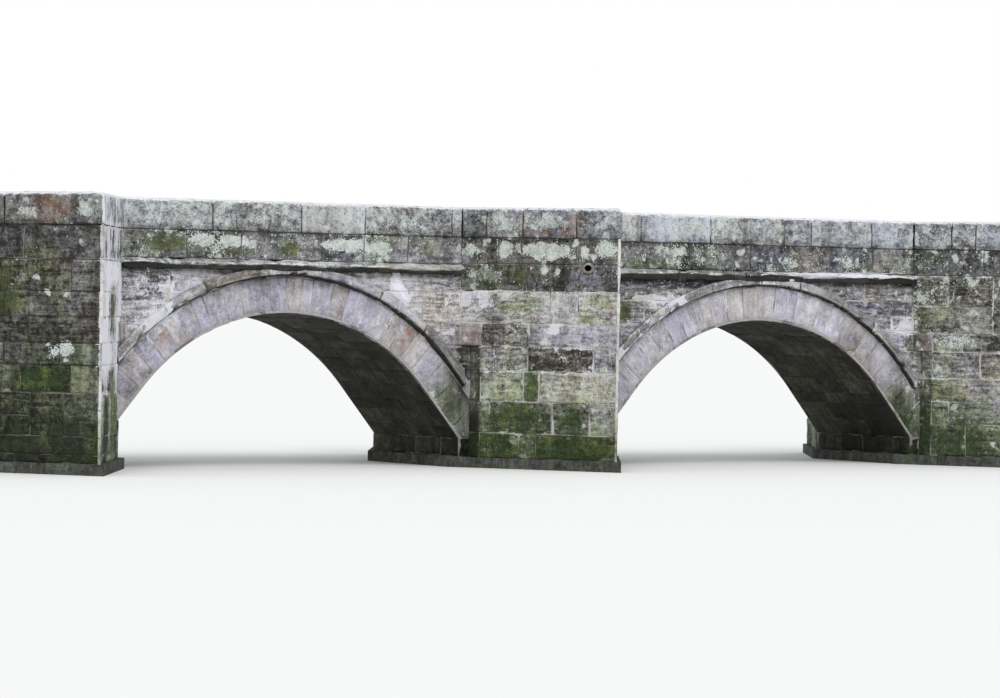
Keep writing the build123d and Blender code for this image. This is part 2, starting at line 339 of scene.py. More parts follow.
class Piece:
    """Stones of one kind, with the place and character of each of their points."""

    def __init__(self, name, slot_name, material, replaces=(), upright_beds=False):
        self.name = name
        self.slot_name = slot_name
        self.material = material
        self.replaced = replaces
        self.upright_beds = upright_beds
        self.points = {}
        self.quads = []
        self.count = 0
        self.stones = 0

    def keep(self, co, no, place, quads, **found):
        """Take in a stone, with what is found at its points, moved and mirrored to its place."""
        x, side_x, side_y = place
        turn = np.array([side_x, side_y, 1.0])
        co = co * turn + np.array([x, 0, 0])
        no = no * turn
        found.update(co=co, no=no, shift=rng.uniform(-farthest_shift, farthest_shift, 3))
        for key, value in found.items():
            shape = (len(co), 3)[: 2 if key in ("co", "no", "shift") else 1]
            self.points.setdefault(key, []).append(np.broadcast_to(value, shape))
        for group, want in quads:
            wanted = no[group[:, 0]] if want is None else want * turn
            if (facing(group, co) * wanted).sum() < 0:
                group = group[:, ::-1]
            self.quads.append(group + self.count)
        self.count += len(co)
        self.stones += 1

    def facts(self, given):
        """The character of a stone: at random, but for what is given."""
        found = dict(rounding=0.014, relief=1.0, furrow=0.0, rust=0.0)
        found["proud"] = stone_proud + rng.uniform(-0.003, 0.003)
        found.update(tone=rng.uniform(0, 1), hue=rng.uniform(0, 1))
        return {**found, **given}

    def lay(self, surface, left, right, low, high, place, step=0.055, gap=joint, hole=None, **given):
        """A stone on a surface, between two lines u(v) and two heights, less its joints."""
        facts = self.facts(given)
        left, right = as_function(left), as_function(right)
        low += gap / 2
        high -= gap / 2
        ends = np.array([low, high])
        width = np.mean(right(ends) - left(ends)) - gap
        height = high - low
        if min(width, height) < least_stone:
            return
        a = np.concatenate([[0], grid_line(width, step) / width, [1]])
        b = np.concatenate([[0], grid_line(height, step) / height, [1]])
        grid_a, grid_b = np.meshgrid(a, b, indexing="ij")
        v = low + grid_b * height
        u0 = left(v) + gap / 2
        u1 = np.maximum(right(v) - gap / 2, u0 + least_width)
        u = u0 + grid_a * (u1 - u0)
        edge_a = np.minimum(grid_a, 1 - grid_a) * (u1 - u0)
        edge_b = np.minimum(grid_b, 1 - grid_b) * height
        skirt = np.zeros(u.shape)
        skirt[[0, -1], :] = 1
        skirt[:, [0, -1]] = 1
        sheet = sheet_quads(len(a), len(b))
        if hole is not None:
            hole_u, hole_v, hole_r = hole
            inside = np.hypot(u - hole_u, v - hole_v) < hole_r
            skirt[inside] = 1
            sheet = sheet[~inside.ravel()[sheet].all(axis=1)]
        co, no = surface(u.ravel(), v.ravel())
        found = dict(edge_a=edge_a, edge_b=edge_b, rim=np.minimum(edge_a, edge_b), skirt=skirt)
        found.update(bed=u, run=v) if self.upright_beds else found.update(bed=v, run=u)
        found = {key: value.ravel() for key, value in found.items()}
        self.keep(co, no, place, [(sheet, None)], **found, **facts)

    def loft(self, section, along, start, stop, place, step=0.06, gap=joint, **given):
        """A block with a closed section, from start to stop along a line."""
        facts = self.facts({"proud": 0.0, "rounding": 0.022, **given})
        points, normals, corner = section
        begin = as_function(start)(points[:, 0]) + gap / 2
        end = as_function(stop)(points[:, 0]) - gap / 2
        length = float(np.mean(end - begin))
        if length < least_block:
            return
        t = grid_line(length, step) / length
        d = begin[None, :] + t[:, None] * (end - begin)[None, :]
        co, no, bed = along(d, points, normals)
        rows, around = d.shape
        index = np.arange(rows * around).reshape(rows, around)
        index = np.column_stack([index, index[:, 0]])
        side = [index[:-1, :-1], index[1:, :-1], index[1:, 1:], index[:-1, 1:]]
        side = np.column_stack([k.ravel() for k in side])
        k = np.arange(around // 2 - 1)
        groups = [(side, None)]
        middle = co.reshape(rows, around, 3).mean(axis=(0, 1))
        for row in (0, rows - 1):
            base = row * around
            cap = base + np.column_stack([k, k + 1, around - 2 - k, around - 1 - k])
            want = co[base : base + around].mean(0) - middle
            groups.append((cap, want))
        ends = (np.minimum(t, 1 - t) * length)[:, None] + np.zeros(around)
        rim = np.minimum(ends, corner[None, :])
        found = dict(edge_a=ends.ravel(), rim=rim.ravel(), bed=bed, run=d.ravel())
        self.keep(co, no, place, groups, edge_b=far_away, skirt=0.0, **found, **facts)

    def shaped(self):
        """What is known of all points, with their relief: worn edges, chips, hollows and furrows."""
        data = {key: np.concatenate(parts) for key, parts in self.points.items()}
        co, rim, amount, proud = (data[key] for key in ("co", "rim", "relief", "proud"))
        q = co + data["shift"]
        wander = np.column_stack([noise(q, wander_size, seed) for seed in (3, 4, 5)])
        wander *= (wander_depth * np.exp(-rim / wander_reach) * np.minimum(amount, 1.5))[:, None]
        r = data["rounding"] * (1 + rounding_change * noise(q, rounding_bumps, 6))
        short = (np.clip(r - data[key], 0, None) for key in ("edge_a", "edge_b"))
        reach = np.minimum(np.hypot(*short), r)
        drop = r - np.sqrt(np.maximum(r**2 - reach**2, 0))
        chips = np.clip(fractal(q, chip_size, 7) - chip_rarity, 0, None) * chip_depth
        chips = np.minimum(chips * np.exp(-rim / chip_reach), chip_limit)
        swell = sum(depth * fractal(q, size, seed) for size, depth, seed in swells)
        grain = np.column_stack([data["run"], data["bed"], data["shift"][:, 0]])
        beds = np.abs(noise(grain, bed_bumps, 10)) + 0.4 * fractal(grain, fine_bed_bumps, 11)
        furrow = data["furrow"] * furrow_depth * np.clip(beds, 0, furrow_limit)
        rise = proud + amount * (swell - chips) - furrow - drop
        rise = np.where(proud > 0, np.maximum(rise, least_rise), rise)
        rise = np.where(data["skirt"] > 0, -stone_sink, rise)
        co = co + wander + data["no"] * rise[:, None]
        data["co"] = np.clip(co, np.array(cad_low) + box_clearance, np.array(cad_high) - box_clearance)
        data["hollow"] = np.clip(furrow / 0.010 - 0.35, 0, 1)
        return data

    def build(self, weather):
        """The mesh of the piece, which keeps the stones' character and the growth on them."""
        data = self.shaped()
        co = data["co"]
        quads = np.concatenate(self.quads)
        mesh = bpy.data.meshes.new(self.name)
        mesh.vertices.add(len(co))
        mesh.vertices.foreach_set("co", co.astype(np.float32).ravel())
        mesh.loops.add(quads.size)
        mesh.loops.foreach_set("vertex_index", quads.astype(np.int32).ravel())
        mesh.polygons.add(len(quads))
        mesh.polygons.foreach_set("loop_start", np.arange(0, quads.size, 4, dtype=np.int32))
        mesh.polygons.foreach_set("use_smooth", np.ones(len(quads), bool))
        mesh.update(calc_edges=True)
        growth = weather(Site(co, data["no"]))
        growth = [value + patch_weight(co, kind) for kind, value in zip(growths, growth)]
        growth[2] = (growth[2] + 0.4 * data["hollow"]) / deepest_damp_and_shade
        rust = np.maximum(data["rust"], patch_weight(co, "rust"))
        stone = [data["tone"], data["hue"], np.exp(-data["rim"] / mortar_reach), rust]
        local = [data["run"], data["bed"], data["shift"][:, 2]]
        for name, kind, field, values in (
            ("stone", "FLOAT_COLOR", "color", np.clip(stone, 0, 1)),
            ("growth", "FLOAT_COLOR", "color", np.clip(growth, 0, 1)),
            ("worn", "FLOAT", "value", [np.clip(data["furrow"], 0, 1.5)]),
            ("local", "FLOAT_VECTOR", "vector", local),
        ):
            values = np.column_stack(values).astype(np.float32)
            mesh.attributes.new(name, kind, "POINT").data.foreach_set(field, values.ravel())
        mesh.materials.append(self.material)
        obj = shown(self.name, mesh)
        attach(obj, "root")
        if self.replaced:
            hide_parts(*self.replaced)
        print(self.name, "stones", self.stones, "triangles", 2 * len(quads))


def section_loop(corners, radii, step=0.05):
    """Closed section with rounded corners: points, outward normals, distance to corners."""
    corners = [np.array(c, float) for c in corners]
    points = []
    number = len(corners)
    ways = [unit(corners[(k + 1) % number] - corner) for k, corner in enumerate(corners)]
    cuts = [corner_cut(ways[k - 1], ways[k], radii[k]) for k in range(number)]
    for k, corner in enumerate(corners):
        parts = 6 if radii[k] > 0.03 else 2
        points += [point for _, point in corner_points(corner, ways[k - 1], ways[k], cuts[k], parts)]
        after = (k + 1) % number
        free = np.linalg.norm(corners[after] - corner) - cuts[k] - cuts[after]
        count = int(free / step)
        for t in (np.arange(count) + 1) / (count + 1):
            points.append(corner + ways[k] * (cuts[k] + t * free))
    if len(points) % 2:
        points.append((points[-1] + points[0]) / 2)
    points = np.array(points)
    ahead = np.roll(points, -1, axis=0) - points
    behind = points - np.roll(points, 1, axis=0)
    tangent = sum(way / np.linalg.norm(way, axis=1)[:, None] for way in (ahead, behind))
    normals = np.column_stack([tangent[:, 1], -tangent[:, 0]])
    normals /= np.linalg.norm(normals, axis=1)[:, None]
    if ((points - points.mean(0)) * normals).sum() < 0:
        normals = -normals
    away = [np.linalg.norm(points - c, axis=1) for c in corners]
    return points, normals, np.min(away, axis=0)


def straight_run(start, along):
    """Block line in plan: section p runs inward from the line and q is the height."""
    start = np.array(start, float)
    along = unit(np.array(along, float))
    inward = np.array([-along[1], along[0]])

    def place(d, points, normals):
        rows = d.shape[0]
        xy = start + d[:, :, None] * along + points[None, :, 0, None] * inward
        z = np.tile(points[:, 1], (rows, 1))
        co = np.concatenate([xy, z[:, :, None]], axis=2).reshape(-1, 3)
        n_xy = normals[:, 0, None] * inward
        no = np.column_stack([n_xy, normals[:, 1]])
        return co, np.tile(no, (rows, 1)), z.ravel()

    return place


def ring_run(d, points, normals):
    """Block line along a ring: section p is the radius and q is y."""
    r = np.tile(points[:, 0], (d.shape[0], 1))
    x, z, angle = ring_place(d, r)
    y = np.tile(points[:, 1], (d.shape[0], 1))
    co = np.stack([x, y, z], axis=2).reshape(-1, 3)
    n_r = np.tile(normals[:, 0], (d.shape[0], 1))
    n_y = np.tile(normals[:, 1], (d.shape[0], 1))
    no = np.stack([n_r * np.sin(angle), n_y, n_r * np.cos(angle)], axis=2).reshape(-1, 3)
    return co, no, r.ravel()


def upward_run(d, points, normals):
    """Block line straight up: the section is a plan."""
    rows = d.shape[0]
    xy = np.tile(points, (rows, 1, 1))
    co = np.concatenate([xy, d[:, :, None]], axis=2).reshape(-1, 3)
    no = np.column_stack([normals, np.zeros(len(normals))])
    return co, np.tile(no, (rows, 1)), co[:, 2]


def joints_between(start, stop, typical, spread=0.3):
    """Uneven joints from start to stop, both included."""
    count = max(1, int(round((stop - start) / typical)))
    widths = 1 + rng.uniform(-spread, spread, count)
    cuts = start + (stop - start) * np.concatenate([[0], np.cumsum(widths)]) / widths.sum()
    return list(cuts)


def spans(cuts, start=None, stop=None):
    """Pairs of neighbouring joints, with start and stop in place of the first and the last."""
    ends = [cuts[0] if start is None else start, *cuts[1:-1], cuts[-1] if stop is None else stop]
    return list(zip(ends, ends[1:]))


def filled(start, stop, seen, longest, typical):
    """Joints from the photograph, with more of them where a stone would be too long."""
    cuts = [start] + [s for s in seen if start + 0.08 < s < stop - 0.05] + [stop]
    result = [start]
    for a, b in spans(cuts):
        if b - a > longest:
            result += joints_between(a, b, typical)[1:]
        else:
            result.append(b)
    return result


# Materials
def srgb(r, g, b):
    """A colour given from 0 to 255 on the screen, as linear light."""
    values = []
    for c in (r / 255, g / 255, b / 255):
        values.append(c / 12.92 if c <= 0.04045 else ((c + 0.055) / 1.055) ** 2.4)
    return (*values, 1.0)


# Named colours, from 0 to 255 on the screen
inks = dict(
    # Tints that a colour is multiplied by; the wet tint also darkens painted shade
    warm=(261, 248, 224), cool=(240, 238, 265), film=(222, 238, 196), dirty_water=(168, 166, 160),
    wet_and_shade=(110, 110, 102), moss_shade=(160, 164, 150), first_pier=(168, 170, 160),
    # Colours of stone and of what grows on it; the black colour is also painted shadow
    crack=(58, 56, 50), slit=(60, 58, 54), flake=(208, 206, 210), damp_and_shade_black=(36, 36, 31),
    red=(146, 90, 74), ochre=(158, 128, 92), dark_smear=(60, 58, 52), pale_smear=(182, 181, 174),
    lime=(222, 221, 229), thick_lime=(240, 239, 249), lichen=(158, 166, 158), pale_lichen=(214, 219, 216),
    moss=(106, 118, 66), old_moss=(52, 70, 38), olive=(128, 124, 86), old_olive=(78, 80, 52),
    # Mortar, and the courses drawn on the plain end faces
    low_mortar=(64, 68, 50), brick_dark=(104, 100, 92), brick_pale=(146, 142, 134),
    brick_joint=(70, 66, 58), brick_stain=(96, 94, 86), brick_lichen=(184, 188, 180),
)
ink = {name: srgb(*values) for name, values in inks.items()}


class Shader:
    """A node material, built by short calls."""

    def __init__(self, name):
        self.material = bpy.data.materials.new(name)
        self.material.use_nodes = True
        self.tree = self.material.node_tree
        self.tree.nodes.clear()
        self.where = self.node("ShaderNodeTexCoord").outputs["Object"]

    def node(self, kind, inputs=None, **settings):
        made = self.tree.nodes.new(kind)
        for key, value in settings.items():
            setattr(made, key, value)
        for key, value in (inputs or {}).items():
            if isinstance(value, bpy.types.NodeSocket):
                self.tree.links.new(value, made.inputs[key])
            else:
                made.inputs[key].default_value = value
        return made

    def math(self, operation, a, b=0.0, c=0.0, clamp=False):
        made = self.node("ShaderNodeMath", {0: a, 1: b, 2: c}, operation=operation, use_clamp=clamp)
        return made.outputs[0]

    def vector(self, operation, inputs):
        return self.node("ShaderNodeVectorMath", inputs, operation=operation).outputs[0]

    def add(self, *terms):
        """Sum of values, each a socket or a (socket, factor) pair."""
        total = None
        for term in terms:
            value, factor = term if isinstance(term, tuple) else (term, 1.0)
            total = self.math("MULTIPLY_ADD", value, factor, 0.0 if total is None else total)
        return total

    def times(self, a, b):
        return self.math("MULTIPLY", a, b)

    def spread(self, value, low, high, to_low=0.0, to_high=1.0):
        """A soft step from to_low to to_high, between two values."""
        inputs = {"Value": value, "From Min": low, "From Max": high, "To Min": to_low, "To Max": to_high}
        made = self.node("ShaderNodeMapRange", inputs, interpolation_type="SMOOTHSTEP")
        return made.outputs["Result"]

    def mix(self, amount, a, b, blend="MIX"):
        made = self.node("ShaderNodeMix", {0: amount, 6: a, 7: b}, data_type="RGBA", blend_type=blend)
        return made.outputs[2]

    def noise(self, scale, detail=5.0, rough=0.6, where=None, distortion=0.0):
        inputs = {"Scale": scale, "Detail": detail, "Roughness": rough, "Distortion": distortion}
        return self.node("ShaderNodeTexNoise", {"Vector": where or self.where, **inputs}).outputs["Fac"]

    def channels(self, colour):
        made = self.node("ShaderNodeSeparateColor", {"Color": colour})
        return [made.outputs[k] for k in range(3)]

    def cells(self, scale, where):
        """Distance to the nearest of many scattered points, and that point's two random numbers."""
        made = self.node("ShaderNodeTexVoronoi", {"Vector": where, "Scale": scale})
        return made.outputs["Distance"], *self.channels(made.outputs["Color"])[:2]

    def stretched(self, x, y, z, where=None):
        inputs = {"Vector": where or self.where, "Scale": (x, y, z)}
        return self.node("ShaderNodeMapping", inputs).outputs[0]

    def wavered(self, size, amount, where=None):
        """The place, shifted about by noise."""
        start = where or self.where
        source = self.node("ShaderNodeTexNoise", {"Vector": start, "Scale": size, "Detail": 4.0})
        shift = self.vector("SUBTRACT", {0: source.outputs["Color"], 1: (0.5, 0.5, 0.5)})
        shift = self.vector("SCALE", {0: shift, "Scale": amount})
        return self.vector("ADD", {0: start, 1: shift})

    def grey(self, value):
        return self.node("ShaderNodeCombineColor", {0: value, 1: value, 2: value}).outputs[0]

    def finish(self, colour, height, strength, roughness, hollow=0.0):
        """The whole material. Hollow is the reach in metres of painted shade, from ambient occlusion, that
        darkens corners.
        """
        if hollow:
            reach = self.node("ShaderNodeAmbientOcclusion", {"Distance": hollow})
            shade = self.math("POWER", reach.outputs["AO"], 3.0)
            colour = self.mix(1.0, colour, self.grey(shade), "MULTIPLY")
        bump = self.node("ShaderNodeBump", {"Height": height, "Strength": strength, "Distance": 0.01})
        inputs = {"Base Color": colour, "Roughness": roughness, "Specular IOR Level": 0.2}
        surface = self.node("ShaderNodeBsdfPrincipled", {"Normal": bump.outputs[0], **inputs})
        output = self.node("ShaderNodeOutputMaterial")
        self.tree.links.new(surface.outputs[0], output.inputs["Surface"])
        return self.material


class StoneShader(Shader):
    """Weathered stone: its own colour, then water, rust, mortar, lime, lichen and moss over it.

    The character of each stone and the growth on it come from values kept in the mesh; the damp value also
    carries painted shade.
    For a solid without them plain gives (tone, hue, lichen, moss, damp and painted shade).
    """

    def __init__(self, name, plain=None):
        super().__init__(name)
        if plain:
            self.tone, self.hue, self.lichen, self.moss, self.damp_and_shade = plain
            self.rim = self.rust = self.lime = self.worn = 0.0
            self.local = self.where
        else:
            kept = {
                name: self.node("ShaderNodeAttribute", attribute_name=name).outputs
                for name in ("stone", "growth", "worn", "local")
            }
            self.tone, self.hue, self.rim = self.channels(kept["stone"]["Color"])
            self.lichen, self.moss, damp_and_shade = self.channels(kept["growth"]["Color"])
            self.damp_and_shade = self.times(damp_and_shade, deepest_damp_and_shade)
            self.rust = kept["stone"]["Alpha"]
            self.lime = kept["growth"]["Alpha"]
            self.worn = kept["worn"]["Fac"]
            self.local = kept["local"]["Vector"]
        self.blotch = self.noise(4.0, 5, 0.6, self.local)
        self.drift = self.noise(2.3, 4, 0.6)
        self.stain = self.noise(10, 9, 0.72)
        self.mottle = self.noise(22, 8, 0.70)
        self.fine = self.noise(55, 6, 0.65)

    def tinted(self, colour, amount, tint):
        return self.mix(amount, colour, self.mix(1.0, colour, tint, "MULTIPLY"))

    def own_colour(self, dark, middle, light, tint, contrast, bands):
        """Lightness from the stone's tone, blotches, grain and beds, and a drift of hue."""
        across = self.stretched(3.2, 26, 1, self.wavered(5, 0.05, self.local))
        self.layers = self.noise(1.0, 7, 0.66, across)
        parts = [(self.tone, 0.50 * contrast), (self.blotch, 1.0), (self.stain, 0.95 * contrast)]
        parts += [(self.mottle, (1.35 - 0.5 * bands) * contrast), (self.fine, 0.75 * contrast)]
        parts += [(self.layers, bands * 2.4 * contrast)]
        middle_value = 0.5 * sum(factor for _, factor in parts)
        shade = self.math("ADD", self.add(*parts), 0.5 - middle_value, clamp=True)
        ramp = self.node("ShaderNodeValToRGB", {"Fac": shade})
        ramp.color_ramp.elements.new(0.50)
        stops = ((0.08, dark), (0.50, middle), (0.92, light))
        for element, (position, stop_colour) in zip(ramp.color_ramp.elements, stops):
            element.position = position
            element.color = srgb(*stop_colour)
        colour = ramp.outputs["Color"]
        patchy = self.noise(6.5, 3, 0.5)
        turn = self.add((self.hue, 0.7), (self.drift, 0.9), (patchy, 0.9))
        warm = self.times(self.spread(turn, 1.30, 1.65), tint)
        cool = self.times(self.spread(turn, 1.20, 0.85), tint)
        colour = self.tinted(colour, warm, ink["warm"])
        colour = self.tinted(colour, cool, ink["cool"])
        film = self.spread(self.add(self.moss, (self.drift, 0.5), (self.blotch, 0.5)), 0.60, 1.05)
        colour = self.tinted(colour, self.times(film, 0.9), ink["film"])
        speck = self.spread(self.noise(110, 3, 0.6), 0.25, 0.75, 0.80, 1.17)
        return self.mix(1.0, colour, self.grey(speck), "MULTIPLY")

    def cracks(self, colour, cracked):
        """Thin dark cracks, and the open beds and pale flakes of worn stones."""
        vein = self.noise(5, 9, 0.68, self.stretched(0.7, 0.7, 2.0))
        off = self.math("ABSOLUTE", self.math("SUBTRACT", vein, 0.5))
        line = self.times(self.spread(off, 0.014, 0.0), self.spread(self.noise(2.7, 3), 0.42, 0.62))
        colour = self.mix(self.times(line, cracked), colour, ink["crack"])
        waved = self.add((self.drift, 0.25), (self.stain, 0.10))
        place = self.vector("ADD", {0: self.local, 1: self.grey(waved)})
        opened = self.noise(1.0, 9, 0.72, self.stretched(5.0, 21, 1, place))
        off = self.math("ABSOLUTE", self.math("SUBTRACT", opened, 0.46))
        some = self.times(self.worn, self.spread(self.mottle, 0.36, 0.56))
        self.slit = self.times(self.spread(off, 0.030, 0.004), some)
        flake = self.times(self.spread(opened, 0.54, 0.60), some)
        colour = self.mix(self.times(flake, 0.60), colour, ink["flake"])
        return self.mix(self.times(self.slit, 0.65), colour, ink["slit"])

    def stained(self, colour, joints):
        """Runs of dirty water, rust, mortar smeared over the edges, and damp, which also carries painted
        shade: darker and black under edges, in recesses and on the soffits.
        """
        run = self.noise(8, 5, 0.62, self.stretched(1, 1, 0.10))
        run = self.times(self.spread(run, 0.48, 0.68), self.spread(self.damp_and_shade, 0.0, 0.6, 0.15, 0.75))
        colour = self.tinted(colour, run, ink["dirty_water"])
        rust_mask = self.times(self.rust, self.spread(self.noise(9, 7, 0.65), 0.36, 0.62))
        rust_colour = self.mix(self.spread(self.noise(5, 3), 0.4, 0.6), ink["red"], ink["ochre"])
        colour = self.mix(self.times(rust_mask, 0.85), colour, rust_colour)
        pale = self.spread(self.add(self.noise(1.7, 5, 0.6), (self.damp_and_shade, -0.25)), 0.30, 0.46)
        smear = self.mix(pale, ink["dark_smear"], ink["pale_smear"])
        ragged = self.spread(self.add(self.rim, (self.noise(24, 6, 0.65), 1.1)), 0.86, 1.30)
        colour = self.mix(self.times(ragged, joints), colour, smear)
        # The wet tint darkens damp stone and painted shade alike
        wet_and_shade = self.math("MINIMUM", self.damp_and_shade, 1.0)
        self.wet_and_shade = self.times(wet_and_shade, self.spread(self.noise(6, 7, 0.65), 0.22, 0.62, 0.35, 1.0))
        colour = self.tinted(colour, self.wet_and_shade, ink["wet_and_shade"])
        # Painted shadow: damp above 1, under edges and in recesses, turns the stone black
        damp_and_shade_black = self.spread(self.add(self.damp_and_shade, (self.stain, 0.3)), 1.10, 1.35)
        return self.mix(self.times(damp_and_shade_black, 0.85), colour, ink["damp_and_shade_black"])

    def limed(self, colour):
        """White runs and blots of lime, which gather along the joints."""
        runs = self.noise(9, 9, 0.70, self.stretched(1, 1, 0.55))
        along_joints = self.times(self.rim, self.lime)
        mask = self.add((self.lime, 0.62), (runs, 1.2), (self.fine, 0.5), (along_joints, 0.8))
        mask = self.spread(mask, 1.20, 1.30)
        white = self.mix(self.spread(self.lime, 0.9, 1.0), ink["lime"], ink["thick_lime"])
        return self.mix(self.times(mask, 0.84), colour, white)

    def lichened(self, colour, soft):
        """Crusts with ragged edges, round discs and small dots of lichen."""
        patch = self.noise(7.5, 9, 0.62)
        crust = self.add((self.lichen, 0.50), (patch, 0.75), (self.fine, 0.65 - 0.4 * soft))
        crust = self.spread(crust, 0.99 - 0.26 * soft, 1.06 - 0.10 * soft)
        around, reach, chance = self.cells(44, self.wavered(26, 0.02))
        dots = self.spread(self.add(around, (reach, -0.45), (self.fine, 0.4)), 0.26, 0.16)
        dots = self.times(dots, self.spread(self.add(self.lichen, (chance, -1.0)), 0.02, 0.10))
        around, reach, chance = self.cells(9.5, self.wavered(12, 0.14))
        discs = self.spread(self.add(around, (reach, -0.50), (self.fine, 0.9), (patch, 0.4)), 0.82, 0.68)
        discs = self.times(discs, self.spread(self.add((self.lichen, 0.9), (chance, -0.8)), 0.02, 0.06))
        self.crust = self.math("MAXIMUM", self.math("MAXIMUM", crust, discs), dots)
        light = self.spread(self.add(self.fine, (self.noise(13, 5), 0.6)), 0.62, 0.94)
        lichen_colour = self.mix(light, ink["lichen"], ink["pale_lichen"])
        return self.mix(self.times(self.crust, 0.84 - 0.15 * soft), colour, lichen_colour)

    def mossed(self, colour):
        """Cushions of moss, green low down and olive higher up."""
        cushion = self.noise(10, 9, 0.70, distortion=0.3)
        cushion = self.add((self.moss, 0.55), (cushion, 1.1), (self.fine, 0.45))
        self.cushion = self.spread(cushion, 1.12, 1.30)
        old = self.spread(self.add(self.noise(4.6, 6, 0.65), (self.damp_and_shade, 0.15)), 0.40, 0.62)
        moss_colour = self.mix(old, ink["moss"], ink["old_moss"])
        height = self.node("ShaderNodeSeparateXYZ", {"Vector": self.where}).outputs["Z"]
        olive = self.mix(old, ink["olive"], ink["old_olive"])
        moss_colour = self.mix(self.spread(height, 1.2, 2.4), moss_colour, olive)
        moss_colour = self.tinted(moss_colour, self.spread(self.fine, 0.62, 0.38), ink["moss_shade"])
        return self.mix(self.times(self.cushion, 0.84), colour, moss_colour)


def stone_material(
    name, dark, middle, light, tint=0.6, contrast=1.0, bands=0.3,
    cracked=0.6, joints=0.5, soft=0.0, plain=None, hollow=0.0,
):
    """A stone from three colours, with how much its hue, grain, beds, cracks and joints show.

    Soft blurs the edges of its lichen. Plain and hollow, the reach of painted shade in corners, are for
    solids without stones.
    """
    s = StoneShader(name, plain)
    colour = s.own_colour(dark, middle, light, tint, contrast, bands)
    colour = s.cracks(colour, cracked)
    colour = s.stained(colour, joints)
    colour = s.limed(colour)
    colour = s.lichened(colour, soft)
    colour = s.mossed(colour)
    height = s.add((s.mottle, 0.60), (s.fine, 0.30), (s.stain, 0.5), (s.layers, bands * 0.8), (s.slit, -0.6))
    height = s.add(height, (s.crust, 0.10), (s.cushion, 0.35))
    roughness = s.spread(s.wet_and_shade, 0.0, 1.0, 0.94, 0.75)
    return s.finish(colour, height, 0.6, roughness, hollow)


def mortar_material(name, pale, dull, pale_below=2.1, soffit_joints_shaded=False):
    """Lime mortar in the joints, paler up to a height, with courses of stone on the plain end faces. If
    asked, joints that don't face front or back get painted shade, as on the soffits.
    """
    s = Shader(name)
    crumb = s.noise(60, 6, 0.65)
    place = s.node("ShaderNodeSeparateXYZ", {"Vector": s.where})
    normal = s.node("ShaderNodeNewGeometry").outputs["Normal"]
    turned = s.node("ShaderNodeSeparateXYZ", {"Vector": normal})
    high = s.spread(place.outputs["Z"], pale_below - 0.1, pale_below + 0.1)
    at_first = s.spread(place.outputs["X"], pier_x[0] + 0.01, pier_x[0])
    dark_first = s.times(at_first, s.spread(place.outputs["Z"], 0.9, 1.2, 0.3, 1.0))
    mask = s.spread(s.add(s.noise(2.6, 6, 0.6), (high, -0.25), (dark_first, -0.12)), 0.36, 0.50)
    # Painted shade: mortar off the front and back faces, on the soffits, is kept dull and dark
    if soffit_joints_shaded:
        front = s.spread(s.math("ABSOLUTE", turned.outputs["Y"]), 0.8, 0.95)
        mask = s.times(s.spread(mask, 0.0, 1.0, 0.4, 1.0), front)
    colour = s.mix(mask, srgb(*dull), srgb(*pale))
    colour = s.mix(at_first, colour, s.mix(1.0, colour, ink["first_pier"], "MULTIPLY"))
    speck = s.spread(crumb, 0.3, 0.7, 0.70, 1.15)
    colour = s.mix(1.0, colour, s.grey(speck), "MULTIPLY")
    low = s.spread(place.outputs["Z"], 0.7, 0.1)
    colour = s.mix(s.times(low, 0.55), colour, ink["low_mortar"])
    end_face = s.spread(s.math("ABSOLUTE", turned.outputs["X"]), 0.95, 0.99)
    shifted = s.node("ShaderNodeSeparateXYZ", {"Vector": s.wavered(4, 0.035)})
    plan = s.node("ShaderNodeCombineXYZ", {"X": shifted.outputs["Y"], "Y": shifted.outputs["Z"]})
    sizes = {"Scale": 1.0, "Brick Width": 0.47, "Row Height": 0.30, "Mortar Size": 0.006}
    looks = {"Color1": ink["brick_dark"], "Color2": ink["brick_pale"], "Mortar": ink["brick_joint"]}
    looks.update({"Mortar Smooth": 0.3, "Bias": 0.0})
    blocks = s.node("ShaderNodeTexBrick", {"Vector": plan.outputs[0], **sizes, **looks})
    stone = s.mix(s.spread(s.noise(15, 8, 0.65), 0.35, 0.65), ink["brick_stain"], blocks.outputs["Color"])
    growth = s.spread(s.noise(7, 8, 0.62), 0.56, 0.62)
    stone = s.mix(s.times(growth, 0.6), stone, ink["brick_lichen"])
    colour = s.mix(end_face, colour, stone)
    height = s.add((s.times(blocks.outputs["Fac"], end_face), -1.6), (crumb, 0.5))
    return s.finish(colour, height, 0.6, 0.95)


# The growth on the stones: how much lichen, moss, damp and lime there is at each point; the damp also
# carries painted shade
def cutwater_face(pier, side):
    """The left front face of a cutwater for side 1, the right one for -1, from its root."""

    def place(s, z):
        x = pier_x[pier] - side * half_pier + side * s * sin_face
        return x, -face_y - s * cos_face, z

    return place


def front_wall(x, z):
    """The front of the walls between the cutwaters, from the middle of the bridge."""
    return x, -face_y, z


first_left = cutwater_face(0, 1)
first_right = cutwater_face(0, -1)
second_left = cutwater_face(1, 1)
third_left = cutwater_face(2, 1)

